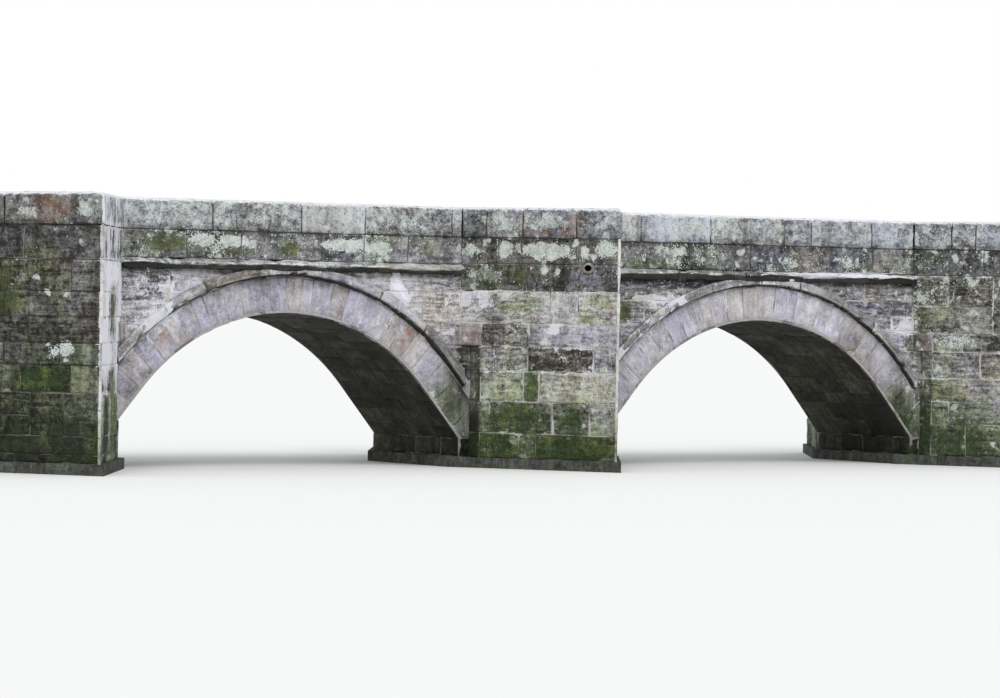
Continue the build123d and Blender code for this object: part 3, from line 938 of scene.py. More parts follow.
# Patches read off the photograph, by kind and face. Each has its place along the face, its
# height, its half width and half height, and its strength.
patches = {
    "lichen": {
        first_left: [
            (1.80, 2.85, 0.10, 0.10, 0.8), (1.10, 2.80, 0.12, 0.07, 0.8), (1.52, 1.33, 0.20, 0.10, 0.7),
        ],
        second_left: [
            (1.12, 2.52, 0.36, 0.09, 0.85), (0.56, 2.52, 0.10, 0.10, 0.85), (1.56, 2.50, 0.07, 0.09, 0.8),
            (1.83, 2.55, 0.14, 0.10, 0.8), (0.10, 2.55, 0.10, 0.10, 0.7), (0.55, 2.85, 0.30, 0.10, 0.34),
            (1.10, 2.86, 0.25, 0.08, 0.4), (1.80, 2.85, 0.16, 0.10, 0.38), (0.25, 2.24, 0.28, 0.10, 0.35),
            (1.29, 1.29, 0.34, 0.12, -0.5),
        ],
        third_left: [(0.60, 1.55, 0.30, 0.10, 0.6), (0.60, 2.87, 0.50, 0.12, 0.14)],
        front_wall: [
            (-7.79, 2.57, 0.10, 0.05, 1.1), (-7.37, 2.56, 0.15, 0.05, 1), (-5.99, 2.55, 0.25, 0.06, 1.1),
            (-5.51, 2.51, 0.14, 0.04, 1), (-1.70, 2.50, 0.35, 0.06, 0.12), (0.80, 2.52, 0.80, 0.10, 0.08),
            (-1.30, 2.33, 0.80, 0.06, -0.12), (-6.21, 2.33, 0.14, 0.03, 0.8),
        ],
    },
    "damp_and_shade": {
        first_right: [(1.45, 0.60, 0.20, 0.50, 1.2)],
        second_left: [(0.25, 2.85, 0.15, 0.14, 0.45), (1.10, 1.45, 0.80, 0.30, 0.26)],
        third_left: [(0.05, 1.52, 0.12, 0.12, 0.5)],
        front_wall: [
            (-1.00, 2.58, 0.60, 0.10, 0.18), (-1.00, 2.34, 0.90, 0.06, 0.55), (-7.58, 2.55, 0.10, 0.12, 0.7),
            (-4.62, 0.65, 0.35, 0.45, 0.42), (-4.40, 0.95, 0.12, 0.50, 0.55), (1.95, 0.65, 0.40, 0.50, 0.75),
            (1.35, 1.30, 0.30, 0.35, 0.42), (-6.60, 2.12, 0.80, 0.12, 0.35),
        ],
    },
    "moss": {
        first_left: [
            (0.85, 1.85, 0.20, 0.12, 0.8), (1.30, 1.02, 0.30, 0.12, 0.7), (0.75, 2.10, 0.14, 0.12, 0.7),
            (1.20, 2.38, 0.25, 0.05, 0.5),
        ],
        first_right: [(1.00, 1.80, 0.45, 0.22, 0.55), (0.60, 0.60, 0.40, 0.45, 0.5)],
        second_left: [
            (0.30, 2.22, 0.30, 0.12, 0.55), (0.74, 2.22, 0.10, 0.12, 0.7), (0.70, 1.88, 0.30, 0.06, 0.45),
            (1.60, 1.74, 0.10, 0.07, 0.6), (1.80, 1.95, 0.16, 0.10, 0.35), (0.92, 0.96, 0.10, 0.18, 0.9),
            (0.80, 0.60, 0.40, 0.16, 0.62), (1.42, 0.60, 0.24, 0.16, 0.55), (1.50, 0.26, 0.50, 0.15, 1),
            (0.40, 0.26, 0.36, 0.14, 0.85), (0.92, 2.90, 0.04, 0.12, 0.9),
        ],
        third_left: [(0.05, 1.52, 0.12, 0.12, 0.35), (0.35, 0.15, 0.35, 0.10, 1)],
        front_wall: [
            (-8.27, 2.54, 0.25, 0.09, 0.8), (-7.34, 2.44, 0.21, 0.03, 0.8), (-6.71, 2.48, 0.13, 0.10, 0.8),
            (-1.78, 2.42, 0.36, 0.05, 0.5), (-2.10, 1.83, 0.10, 0.12, 1), (-4.58, 0.80, 0.30, 0.40, 0.42),
            (2.05, 0.55, 0.30, 0.40, 0.55),
        ],
    },
    "lime": {
        first_right: [(1.00, 2.16, 0.60, 0.10, 0.9), (1.30, 1.30, 0.45, 0.15, 0.7)],
        second_left: [(1.20, 1.62, 0.14, 0.06, 0.65), (0.20, 1.95, 0.30, 0.12, 0.45)],
        front_wall: [
            (-5.26, 2.12, 0.08, 0.11, 1.1), (-5.18, 2.02, 0.06, 0.10, 1.1), (-5.13, 1.94, 0.04, 0.06, 1.1),
            (1.51, 2.34, 0.50, 0.03, 0.8), (-8.40, 1.70, 0.30, 0.22, 0.32), (-1.95, 1.45, 0.50, 0.35, 0.09),
            (-1.30, 2.33, 0.80, 0.06, -0.3), (-1.50, 2.00, 0.22, 0.06, 0.55), (2.05, 1.72, 0.20, 0.10, 0.55),
            (1.10, 2.34, 0.60, 0.02, 0.8), (-8.45, 2.07, 0.34, 0.14, 0.44),
        ],
    },
    "rust": {
        first_left: [(1.35, 2.85, 0.22, 0.14, 1)],
        first_right: [(1.20, 2.33, 0.50, 0.06, 1)],
        second_left: [
            (1.42, 2.84, 0.10, 0.14, 0.9), (1.05, 2.74, 0.35, 0.03, 0.9), (0.80, 2.88, 0.06, 0.12, 0.7),
        ],
        third_left: [(0.80, 2.71, 0.60, 0.02, 0.7)],
        front_wall: [
            (-5.18, 1.44, 0.14, 0.08, 0.6), (-8.29, 1.44, 0.07, 0.10, 0.7), (-8.01, 1.41, 0.06, 0.09, 0.5),
            (-5.07, 1.59, 0.06, 0.10, 0.9), (-5.94, 2.02, 0.05, 0.07, 0.6), (1.22, 1.39, 0.10, 0.06, 0.9),
        ],
    },
}


def patch_weight(co, kind):
    """The strongest patch of one kind at each point. Below 0 it takes growth away."""
    total = np.zeros(len(co))
    for face, rows in patches[kind].items():
        for along, z, width, height, strength in rows:
            away = (co - np.array(face(along, z))) / np.array([width, width, height])
            weight = strength * np.clip(1.5 - np.linalg.norm(away, axis=1), 0, 1)
            total = np.where(np.abs(weight) > np.abs(total), weight, total)
    return total


def above(value, edge, reach):
    """0 up to an edge, rising to 1 at reach beyond it."""
    return np.clip((value - edge) / reach, 0, 1)


def below(value, edge, reach):
    """0 down to an edge, rising to 1 at reach below it."""
    return np.clip((edge - value) / reach, 0, 1)


def under_edge(z, edge, reach):
    """1 right under an edge, fading out over reach metres below it."""
    return 1 - below(z, edge, reach)


class Site:
    """Points with the noise and the places that the growth depends on."""

    def __init__(self, co, no):
        self.co = co
        self.x, self.y, self.z = co.T
        self.out = np.abs(self.y)
        self.up = no[:, 2]
        self.broad = fractal(co, 1.1, 21)
        self.small = fractal(co, 0.33, 25)
        self.run = fractal(co, (0.16, 0.16, 0.9), 29)
        self.front = self.y < -face_y
        # The damp left face of the first cutwater, and the cutwater right of the middle
        self.first = (self.x < pier_x[0] + 0.005) * self.front
        self.third = (self.x > pier_x[1] + half_bay) * self.front

    def limewashed(self):
        """How much each point belongs to the lime washed right face of the first cutwater."""
        right = (self.x > pier_x[0] - 0.02) & (self.x < pier_x[0] + half_pier) & (self.y < -face_y - 0.02)
        streaks = 0.92 + 0.5 * fractal(self.co, (0.10, 0.16, 0.7), 33)
        return right * streaks * above(self.z, 0.7, 0.5)

    def ring_reach(self):
        """Distance from the centre line of the nearest arch."""
        nearest = np.argmin(np.abs(self.x[:, None] - np.array(arch_x)), axis=1)
        return np.hypot(self.x - np.array(arch_x)[nearest], self.z - centre_z)

    def recess_shade(self):
        """Painted shade in the recess at the root of a cutwater: how much each point lies in it."""
        away = np.min(np.abs(self.x[:, None] - np.array(pier_x)), axis=1)
        near = below(self.out, face_y + root_setback + 0.03, 0.03)
        depth = np.where(self.x > pier_x[1] + half_pier + 0.1, 0.15, 0.7)
        return depth * near * (self.z < corbel_low[2] + 0.01) * (away > 0.9) * (away < half_pier + 0.03)


# Growth on each kind of stone, in this order. Each function returns four strengths: 0 is none
# and 1 is all over, and the colours take it from there. The damp strength also carries painted shade.
growths = ("lichen", "moss", "damp_and_shade", "lime")


def weather_coping(s):
    top = np.clip(2.2 * s.up - 0.5, 0, 1)
    side = 1 - top
    low = below(s.z, coping_bottom + 0.10, 0.1)
    cut = s.out > face_y + 0.05
    lichen = 0.56 + 0.16 * s.small + 0.12 * s.broad - 0.25 * low - 0.16 * s.first - 0.16 * cut * side
    damp_and_shade = 0.25 + 0.25 * s.run - 0.6 * top + 0.4 * low + 0.35 * s.first
    # The top is whitened by its upward normal: lime crust and painted highlight
    lime = (0.80 + 0.1 * s.small) * top + 0.6 * s.limewashed() * side
    return lichen, 0.06 + 0.2 * s.broad - 0.5 * top, damp_and_shade, lime


def weather_parapet(s):
    under = under_edge(s.z, coping_bottom, 0.08)
    cut = s.out > face_y + 0.02
    lichen = 0.40 + 0.20 * s.small + 0.10 * s.broad - 0.16 * cut - 0.18 * s.first
    moss = 0.24 + 0.25 * s.broad + 0.20 * s.small - 0.12 * cut + 0.1 * s.first
    damp_and_shade = 0.34 + 0.35 * under + 0.25 * s.run - 0.05 * s.first + 0.15 * cut
    return lichen, moss, damp_and_shade, 0.7 * s.limewashed()


def weather_string(s):
    # Painted shadow: the lower part of the string's face is made black, as under an undercut
    under = below(s.z, string_low[2] + 0.052 + 0.02 * s.small, 0.010)
    lichen = 0.40 + 0.25 * s.small + 0.1 * s.broad - 0.6 * under
    damp_and_shade = 0.10 + 0.25 * s.run + (1.30 + 0.3 * s.broad) * under
    return lichen, 0.12 + 0.2 * s.broad - 0.2 * under, damp_and_shade, (0.35 + 0.2 * s.small) * (1 - under)


def weather_spandrel(s):
    # Painted shadow just under the string course, and painted shade in the recesses at the cutwaters' roots
    under = under_edge(s.z, bed_level, 0.09)
    low = below(s.z, 1.2, 0.6)
    damp_and_shade = 0.02 + 1.1 * under + 0.25 * np.clip(s.run, 0, 1) + 0.3 * low + s.recess_shade()
    return 0.16 + 0.20 * s.small - 0.1 * under, 0.03 + 0.08 * s.broad + 0.25 * low, damp_and_shade, 0.2 + 0.1 * s.small


def weather_hood(s):
    reach = s.ring_reach()
    # Painted shadow on the hood's underside, which is made dark
    under = below(reach, extrados + 0.8 * hood_splay, 0.015)
    under = np.maximum(under, 0.8 * (s.out < hood_y - 0.012) * (reach < hood_radius))
    moss = 0.02 + 0.15 * s.small + 0.15 * under
    damp_and_shade = 0.05 + 1.2 * under + 0.2 * s.run
    return 0.12 + 0.2 * s.small, moss, damp_and_shade, (0.25 + 0.2 * s.small) * (1 - under)


def weather_ring(s):
    # Painted shade where the voussoirs turn under the arch, and painted shadow along their outer edge under
    # the hood
    inside = below(s.out, face_y - 0.010, 0.03)
    low = below(s.z, 1.0, 0.7)
    under = above(s.ring_reach(), extrados - 0.05, 0.05)
    moss = 0.02 + 0.12 * s.broad + 0.42 * low * (1 - inside)
    damp_and_shade = 0.02 + 0.12 * s.run + 1.0 * inside + 0.40 * low + 0.5 * under
    return 0.10 + 0.18 * s.small - 0.3 * inside, moss, damp_and_shade, (0.22 + 0.15 * s.small) * (1 - inside)


# Painted shade on the soffits: dark and damp all over
def soffit_shade_and_weather(s):
    return -0.3, 0.06 + 0.25 * s.broad, 0.65 + 0.3 * s.broad, 0


def weather_cutwater(s):
    low = below(s.z, 0.85, 0.5)
    high = above(s.z, 1.5, 0.6)
    dry = above(s.z, 0.9, 0.4)
    lichen = 0.12 + 0.18 * s.small + 0.08 * s.broad + 0.16 * high - 0.22 * s.first + 0.16 * s.third * high
    moss = 0.28 + 0.22 * s.broad + 0.15 * s.small + 0.25 * low - 0.14 * dry + 0.16 * s.first + 0.16 * s.third
    # Painted shade in the recess at the root is added to the damp
    damp_and_shade = 0.06 + 0.25 * s.run + 0.40 * low + (0.70 - 0.1 * high) * s.first + s.recess_shade()
    damp_and_shade = damp_and_shade + 0.08 * s.third + 0.36 * s.third * high
    lime = 0.28 + 0.12 * s.small - 0.3 * low - 0.3 * s.first
    # The lime washed face, with a mossy strip down its middle
    white = s.limewashed()
    strip = np.exp(-(((s.y + 1.75) / 0.28) ** 2)) * white
    lichen = lichen - 0.2 * white
    moss = moss - 0.1 * white + 0.35 * strip
    damp_and_shade = damp_and_shade - 0.3 * white
    return lichen, moss, damp_and_shade, lime + 0.8 * white - 0.6 * strip


def weather_low(s):
    front = above(s.out, face_y - 0.02, 0.1)
    return -0.3, 0.20 + 0.3 * s.broad + 0.2 * front, 0.80 + 0.3 * s.run - 0.4 * front, 0


def weather_path(s):
    return 0.30 + 0.25 * s.small, 0.24 + 0.3 * s.broad, 0.25 + 0.2 * s.small, 0


def weather_nose(s):
    low = below(s.z, 0.8, 0.6)
    return 0.2 + 0.1 * s.small, 0.10 + 0.3 * low, 0.05 + 0.4 * low, 0.3


ring_stone = stone_material(
    "ring_stone", (118, 115, 120), (174, 171, 180), (212, 210, 218), 0.45, 0.85, 0.35, 0.45, joints=0.6
)
# The soffits' dark colours are painted shade under the arches
shaded_soffit_stone = stone_material(
    "shaded_soffit_stone", (38, 38, 31), (72, 71, 61), (112, 110, 100), 0.4, 0.9, 0.4, joints=0.1
)
spandrel_stone = stone_material(
    "spandrel_stone", (92, 90, 92), (170, 167, 171), (220, 218, 223), 0.55, 1.45, 0.7
)
cutwater_stone = stone_material(
    "cutwater_stone", (58, 56, 54), (144, 141, 141), (208, 206, 208), 0.5, 1.5, 0.45
)
parapet_stone = stone_material("parapet_stone", (56, 56, 57), (126, 125, 129), (186, 186, 190), 0.6, 1.35)
coping_stone = stone_material(
    "coping_stone", (80, 80, 83), (150, 152, 157), (202, 206, 212), 0.4, 1.7, 0.25, soft=0.7
)
moulded_stone = stone_material(
    "moulded_stone", (80, 79, 80), (150, 149, 151), (202, 201, 205), 0.6, 1.25, 0.6
)
hood_stone = stone_material("hood_stone", (100, 98, 97), (164, 161, 163), (204, 202, 206), 0.5, 1.0, 0.5)
corbel_stone = stone_material("corbel_stone", (84, 76, 77), (142, 132, 133), (184, 175, 177), 0.3, 1.2)
pier_stone = stone_material("pier_stone", (38, 38, 33), (80, 79, 71), (124, 122, 114), 0.5, 1.1)
paving_stone = stone_material("paving_stone", (84, 82, 80), (134, 132, 130), (178, 176, 175), 0.5)
# Solids that show bare: their tone, hue, lichen, moss and damp are given here
footing_stone = stone_material(
    "footing_stone", (44, 44, 44), (96, 95, 98), (140, 139, 145), 0.5, plain=(0.5, 0.5, 0.0, 0.35, 0.5)
)
# The pipe's bore is darkened by painted shade from ambient occlusion
clay = stone_material(
    "fired_clay", (104, 94, 90), (144, 134, 129), (186, 178, 173), 0.1,
    plain=(0.5, 0.5, 0.2, 0.0, 0.1), hollow=0.08,
)
white_mortar = stone_material("white_mortar", (150, 149, 146), (202, 201, 199), (228, 228, 228), 0.2, 0.9)
pale_mortar = mortar_material("pale_mortar", (196, 195, 188), (84, 82, 76))
dark_mortar = mortar_material("dark_mortar", (120, 118, 112), (62, 61, 54))
# The joints on the soffits get painted shade
ring_mortar = mortar_material("ring_mortar", (168, 165, 163), (56, 55, 48), 3.0, soffit_joints_shaded=True)

# Places that like stones repeat on: one, two or four times a pier
sides = (1, -1)
pier_sides = [(k, x, side_y) for k, x in enumerate(pier_x) for side_y in sides]
quarters = [(k, x, side_x, side_y) for k, x, side_y in pier_sides for side_x in sides]

# Heights closer than this are the same bed
near = 0.01

# Courses of the cutwater faces seen in the photograph, for each: its two beds, its joints as
# distances from the root, and how pale its stones are. The last joint is past the nose, where
# a course is cut off.
nose = far_away
seen_courses = {
    0: [
        (footing_top, 0.21, (0, 0.95, nose), (0.1, 0.15)),
        (0.21, 0.41, (0, 0.60, 1.70, nose), (0.15, 0.1, 0.3)),
        (0.41, 0.62, (0, 0.50, 1.14), (0.15, 0.1)),
        (0.62, 0.87, (0, 1.14), (0.1,)),
        (0.41, 0.87, (1.14, 1.55, nose), (0.1, 0.4)),
        (0.87, 1.17, (0, 1.01, 1.63, nose), (0.3, 0.0, 0.7)),
        (1.17, corbel_low[2], (0, 0.80, 1.49, nose), (0.45, 0.4, 0.55)),
        (corbel_low[2], 1.69, (0, 1.10, nose), (0.2, 0.25)),
        (1.69, 1.96, (0, 0.80, nose), (0.1, 0.4)),
        (1.96, 2.30, (0, 0.75, 1.62, nose), (0.1, 0.25, 0.4)),
        (2.30, coping_bottom, (0, 1.04, nose), (0.1, 0.2)),
    ],
    1: [
        (footing_top, 0.41, (0, 0.77, 0.99, nose), (0.25, 0.55, 0.2)),
        (0.41, 0.78, (0, 0.40, 1.19, 1.66, nose), (0.65, 0.25, 0.35, 0.6)),
        (0.78, 1.13, (0, 0.82, 1.02, nose), (0.65, 0.35, 0.7)),
        (1.13, corbel_low[2], (0, 0.45, 0.87, 1.70, nose), (0.65, 0.5, 0.0, 0.5)),
        (corbel_low[2], 1.68, (0, 0.88, nose), (0.4, 0.8)),
        (1.68, 2.06, (0, 1.14, 1.50, nose), (0.85, 0.75, 0.65)),
        (2.06, 2.37, (0, 0.84, 1.33, nose), (0.4, 0.3, 0.45)),
        (2.37, coping_bottom, (0, 0.48, 0.77, 1.49, nose), (0.45, 0.35, 0.3, 0.45)),
    ],
    2: [
        (footing_top, 0.51, (0, 0.72, nose), (0.5, 0.45)),
        (0.51, 0.79, (0, 0.50, nose), (0.55, 0.45)),
        (0.79, 1.08, (0, 0.77, nose), (0.5, 0.55)),
        (1.08, corbel_low[2], (0, 0.90, nose), (0.5, 0.45)),
        (corbel_low[2], corbel_high[2], (0, 0.67, nose), (0.4, 0.2)),
        (corbel_high[2], 1.97, (0, 1.05, nose), (0.5, 0.35)),
        (1.97, 2.35, (0, 0.47, 1.06, nose), (0.4, 0.3, 0.4)),
        (2.35, coping_bottom, (0, 0.92, nose), (0.3, 0.25)),
    ],
}
# Joints in the copings over the same faces
seen_coping_joints = {0: [0.77, 1.63], 1: [0.31, 0.77, 1.45], 2: [0.49, 0.80]}
# Bed above which the nearest stones of the first cutwater have a joint of their own
split_bed = 0.62
# Single stones, by their cutwater, lower bed and number: how furrowed they are, and their hue
seen_furrows = {(1, 1.68, 0): 1.3, (1, corbel_low[2], 0): 1.1, (1, 0.41, 2): 0.7, (1, 0.41, 1): 0.5}
seen_furrows.update({(1, 0.78, 2): 0.4, (0, 1.69, 0): 0.5})
seen_hues = {(1, 1.13, 2): 0.95, (1, corbel_low[2], 1): 0.0}


def cutwater_courses(pier, side_x, side_y):
    """Courses of one cutwater face: those seen in the photograph, or uneven ones."""
    front = side_y > 0 and pier in seen_courses
    if front and side_x > 0:
        return seen_courses[pier]
    if front:
        beds = sorted({low for low, *_ in seen_courses[pier]} | {coping_bottom})
        beds = [z for z in beds if z != split_bed]
    else:
        beds = joints_between(footing_top, corbel_low[2], 0.31, 0.15) + [corbel_high[2]]
        beds += joints_between(corbel_high[2], coping_bottom, 0.34, 0.12)[1:]
    courses = []
    for low, high in spans(beds):
        cuts = joints_between(0, face_length, 0.6, 0.3)
        cuts[-1] = nose
        courses.append((low, high, cuts, rng.uniform(0, 1, len(cuts) - 1)))
    return courses


cutwaters = Piece("cutwater_stones", "cutwater_stone", cutwater_stone)
refuges = Piece("refuge_stones", "refuge_stone", parapet_stone)
lower_corners = [(-lower_root, -face_y), (-lower_root, -face_y - root_setback), (0, -nose_y)]
lower_path = Path(lower_corners, 0.018)
upper_path = Path([(-half_pier, -face_y), (0, -nose_y)])
# The mouth of the drain pipe on the second cutwater: place along the face, height and radius
pipe_mouth = (face_length - 0.391, 2.333, pipe_reach)
for k, x, side_x, side_y in quarters:
    place = (x, side_x, side_y)
    photographed = side_x > 0 and side_y > 0
    hole = pipe_mouth if photographed and k == 1 else None
    for low, high, cuts, tones in cutwater_courses(k, side_x, side_y):
        lower = high < corbel_low[2] + near
        path = lower_path if lower else upper_path
        offset = lower_start - root_setback if lower else 0.0
        start = 0.0
        if abs(low - corbel_low[2]) < near:
            start = lower_start
            if high > corbel_high[2] + 0.04:
                cutwaters.lay(upright(path), 0, start, corbel_high[2], high, place)
        piece = refuges if low > bed_level - 0.25 else cutwaters
        for i, (a, b) in enumerate(spans(cuts)):
            a = start if a == 0 else a - offset
            b = min(b - offset, path.length)
            facts = dict(tone=tones[i], furrow=0.0)
            if photographed:
                facts["furrow"] = seen_furrows.get((k, low, i), 0.0)
                if (k, low, i) in seen_hues:
                    facts["hue"] = seen_hues[k, low, i]
            if not facts["furrow"] and rng.uniform() < 0.3:
                facts["furrow"] = rng.uniform(0.2, 0.6)
            step = 0.055 if side_y > 0 else 0.07
            if hole and a < hole[0] < b and low - 0.05 < hole[1] < high + 0.05:
                step = 0.014
            facts["rounding"] = rng.uniform(0.008, 0.014)
            piece.lay(upright(path), a, b, low, high, place, step=step, hole=hole, **facts)

# Spandrel walls: courses with their two beds, joints from the root and paleness
spandrels = Piece("spandrel_stones", "spandrel_stone", spandrel_stone)
seen_spandrels = {
    (0, 1): [(1.38, 1.60, [], [0.6]), (1.60, 1.86, [], [0.7]), (1.86, bed_level, [0.62], [0.4, 0.8])],
    (0, -1): [
        (0.975, 1.20, [], [0.5]),
        (1.20, 1.41, [], [0.6]),
        (1.41, 1.68, [0.27], [0.6, 0.7]),
        (1.68, 2.03, [0.52], [0.6, 0.75]),
        (2.03, bed_level, [0.52], [0.5, 0.8]),
    ],
    (1, 1): [
        (1.20, 1.41, [], [0.6]),
        (1.41, 1.70, [], [0.5]),
        (1.70, 1.98, [0.40], [0.15, 0.4]),
        (1.98, 2.12, [0.75], [0.15, 0.4]),
        (2.12, bed_level, [], [0.0]),
    ],
    (1, -1): [
        (0.975, 1.20, [], [0.5]),
        (1.20, 1.41, [], [0.5]),
        (1.41, 1.66, [0.12], [0.4, 0.7]),
        (1.66, 1.84, [0.10, 0.33], [0.4, 0.7, 0.5]),
        (1.84, 2.02, [0.35, 0.45], [0.0, 0.3, 0.3]),
        (2.02, bed_level, [0.75], [0.35, 0.3]),
    ],
}

# The recess beside a cutwater, where courses start further back: its height and depth
recess_top = 1.41
recess_start = -0.146


def spandrel_courses(root):
    """Uneven courses from where the hood leaves the recess up to the string course."""
    foot = 1.19 if root < 2.2 else 0.975
    beds = joints_between(foot, recess_top, 0.21, 0.1) + joints_between(recess_top, bed_level, 0.27, 0.2)[1:]
    courses = []
    for low, high in spans(beds):
        joints = list(np.cumsum(rng.uniform(0.35, 0.75, 3)))
        courses.append((low, high, joints, rng.uniform(0.2, 0.9, 4)))
    return courses


margin = 0.3
for k, x in enumerate(arch_x):
    for side_y in sides:
        for side_x, root in ((1, jamb_left), (-1, jamb_right)):
            surface = upright(Path([(-root - margin, -face_y), (margin, -face_y)]))
            seen = (k, side_x) in seen_spandrels and side_y > 0
            for low, high, joints, tones in seen_spandrels[k, side_x] if seen else spandrel_courses(root):
                start = recess_start if high < recess_top + near else 0.0

                def limit(v, root=root):
                    return root - hood_x(v) - 0.004

                cuts = [start] + [j for j in joints if j < limit(high) - 0.12] + [None]
                for i, (a, b) in enumerate(zip(cuts, cuts[1:])):
                    foot = low
                    while limit(foot) < a + 0.02 and foot < high:
                        foot += 0.01

                    def right(v, b=b):
                        return margin + (limit(v) if b is None else np.minimum(limit(v), b))

                    facts = dict(tone=tones[min(i, len(tones) - 1)], rounding=0.009)
                    if seen and k == 0 and side_x > 0 and low > 1.5 and a == 0:
                        facts.update(furrow=1.3, hue=0.3)
                    elif seen and k == 1 and (side_x < 0 or low > 1.9):
                        facts.update(furrow=rng.uniform(0.6, 1.3))
                    elif rng.uniform() < 0.2:
                        facts.update(furrow=rng.uniform(0.4, 1.0))
                    place = (x, side_x, side_y)
                    spandrels.lay(surface, margin + a, right, foot, high, place, gap=0.005, **facts)

# Fronts of the short wall stubs beyond the end piers
stub = Path([(lower_root, -face_y), (end_x - pier_x[-1], -face_y)])
for x, side_x in ((pier_x[0], -1), (pier_x[-1], 1)):
    for side_y in sides:
        beds = joints_between(footing_top, corbel_low[2], 0.3, 0.15) + [corbel_high[2]]
        beds += joints_between(corbel_high[2], bed_level, 0.31, 0.1)[1:]
        for low, high in spans(beds):
            start = 0.0 if high < corbel_low[2] + near else half_pier - lower_root
            if abs(low - corbel_low[2]) < near:
                start = corbel_x - lower_root
            spandrels.lay(upright(stub), start, stub.length, low, high, (x, side_x, side_y))

# Voussoirs: each is bent round the edge between the face and the soffit
voussoirs = Piece("voussoirs", "voussoir_stone", ring_stone, upright_beds=True)
soffits = Piece("soffit_stones", "voussoir_stone", shaded_soffit_stone)
t_left = ring_end(soffit_radius, bed_left)
t_right = ring_end(soffit_radius, bed_right)
soffit_tail = 0.055
for k, x in enumerate(arch_x):
    cuts = joints_between(-t_left + 0.02, t_right - 0.02, 0.205, 0.35)
    for side_y in sides:
        for i in range(len(cuts) - 1):
            wear = rng.uniform(-0.012, 0.004)
            edge = soffit_radius + rng.uniform(0.0, 0.004)
            corners = [(extrados + wear, -face_y), (edge, -face_y), (edge, -face_y + soffit_tail)]
            cross = Path(corners, 0.009, side=-1)

            def end_line(v, sign, bed, cross=cross):
                point, _ = cross.at(np.ravel(v))
                return (sign * ring_end(point[:, 0], bed)).reshape(np.shape(v))

            ends = [lambda v: end_line(v, -1, bed_left), lambda v: end_line(v, 1, bed_right)]
            left, right = spans(cuts, *ends)[i]
            facts = dict(rounding=0.004, proud=0.007 + rng.uniform(-0.002, 0.002), relief=0.8)
            facts["tone"] = rng.uniform(0.3, 0.8) + 0.2 * (k == 1)
            facts["furrow"] = rng.uniform(0.0, 0.25)
            voussoirs.lay(ring(cross), left, right, 0, cross.length, (x, 1, side_y), gap=0.003, **facts)
    inner = Path([(soffit_radius, -face_y), (soffit_radius, face_y)], side=-1)
    for left, right in spans(cuts, -t_left, t_right):
        rows = joints_between(soffit_tail + 0.003, 2 * face_y - soffit_tail - 0.003, 0.62, 0.3)
        for a, b in spans(rows):
            facts = dict(proud=0.007 + rng.uniform(-0.004, 0.004), rounding=0.008)
            soffits.lay(ring(inner), left, right, a, b, (x, 1, 1), step=0.08, gap=0.005, **facts)

# Faces of the piers under the arches, each course bent round the corners of the pier
jambs = Piece("pier_stones", "pier_stone", pier_stone)
corners = [(-lower_root, -face_y), (-half_pier, -face_y), (-half_pier, face_y), (-lower_root, face_y)]
path = Path(corners, 0.02, side=-1)
for k, x in enumerate(pier_x):
    for side_x, bed in ((1, bed_right), (-1, bed_left)):
        if (k == 0 and side_x > 0) or (k == len(pier_x) - 1 and side_x < 0):
            continue
        beds = [footing_top, bed] if bed < 0.4 else [footing_top, 0.34, bed]
        for low, high in spans(beds):
            cuts = joints_between(0.45 + rng.uniform(0, 0.2), path.length - 0.55, 0.5, 0.25)
            for a, b in spans([0, *cuts, path.length]):
                jambs.lay(upright(path), a, b, low, high, (x, side_x, 1), rounding=0.02, relief=1.5)

# Hood moulds
moulds = Piece("hood_stones", "moulded_stone", hood_stone, ["hood_moulds"])
cores = Piece("mortar_cores", "moulded_stone", dark_mortar)
hood_back = -face_y + 0.03
hood_edge = hood_radius + 0.018
corners = [(extrados, hood_back), (hood_edge, hood_back), (hood_edge, -hood_y)]
corners += [(extrados + 0.7 * hood_splay, -hood_y), (extrados, -face_y - 0.012)]
hood_section = section_loop(corners, [0.003, 0.003, 0.016, 0.008, 0.004], 0.04)
inset = 0.014
corners = [(extrados + inset, -face_y + 0.02), (hood_radius - inset, -face_y + 0.02)]
corners += [(hood_radius - inset, -hood_y + inset), (extrados + hood_splay, -hood_y + inset)]
hood_core = section_loop(corners, [0.002] * 4, 0.2)


def hood_stop(side, root):
    """Distance along the ring at which each radius meets the upright end of a hood."""
    stop_x = root + hood_inset

    def line(r):
        end = r * math.sin(arc_half_angle)
        leg = (stop_x - end) / math.cos(arc_half_angle)
        arc = np.arcsin(np.clip(stop_x / r, -1, 1)) * ring_middle
        return side * np.where(stop_x > end, arc_half_angle * ring_middle + leg, arc)

    return line


first, last = hood_stop(-1, jamb_left), hood_stop(1, jamb_right)
for x in arch_x:
    for side_y in sides:
        place = (x, 1, side_y)
        cuts = joints_between(float(first(hood_radius)), float(last(hood_radius)), 0.62, 0.3)
        for start, stop in spans(cuts, first, last):
            facts = dict(relief=1.3, furrow=rng.uniform(0.1, 0.5), rounding=0.012)
            moulds.loft(hood_section, ring_run, start, stop, place, gap=0.005, **facts)
        ends = (lambda r: first(r) + 0.02, lambda r: last(r) - 0.02)
        cores.loft(hood_core, ring_run, *ends, place, step=0.12, relief=0.0)

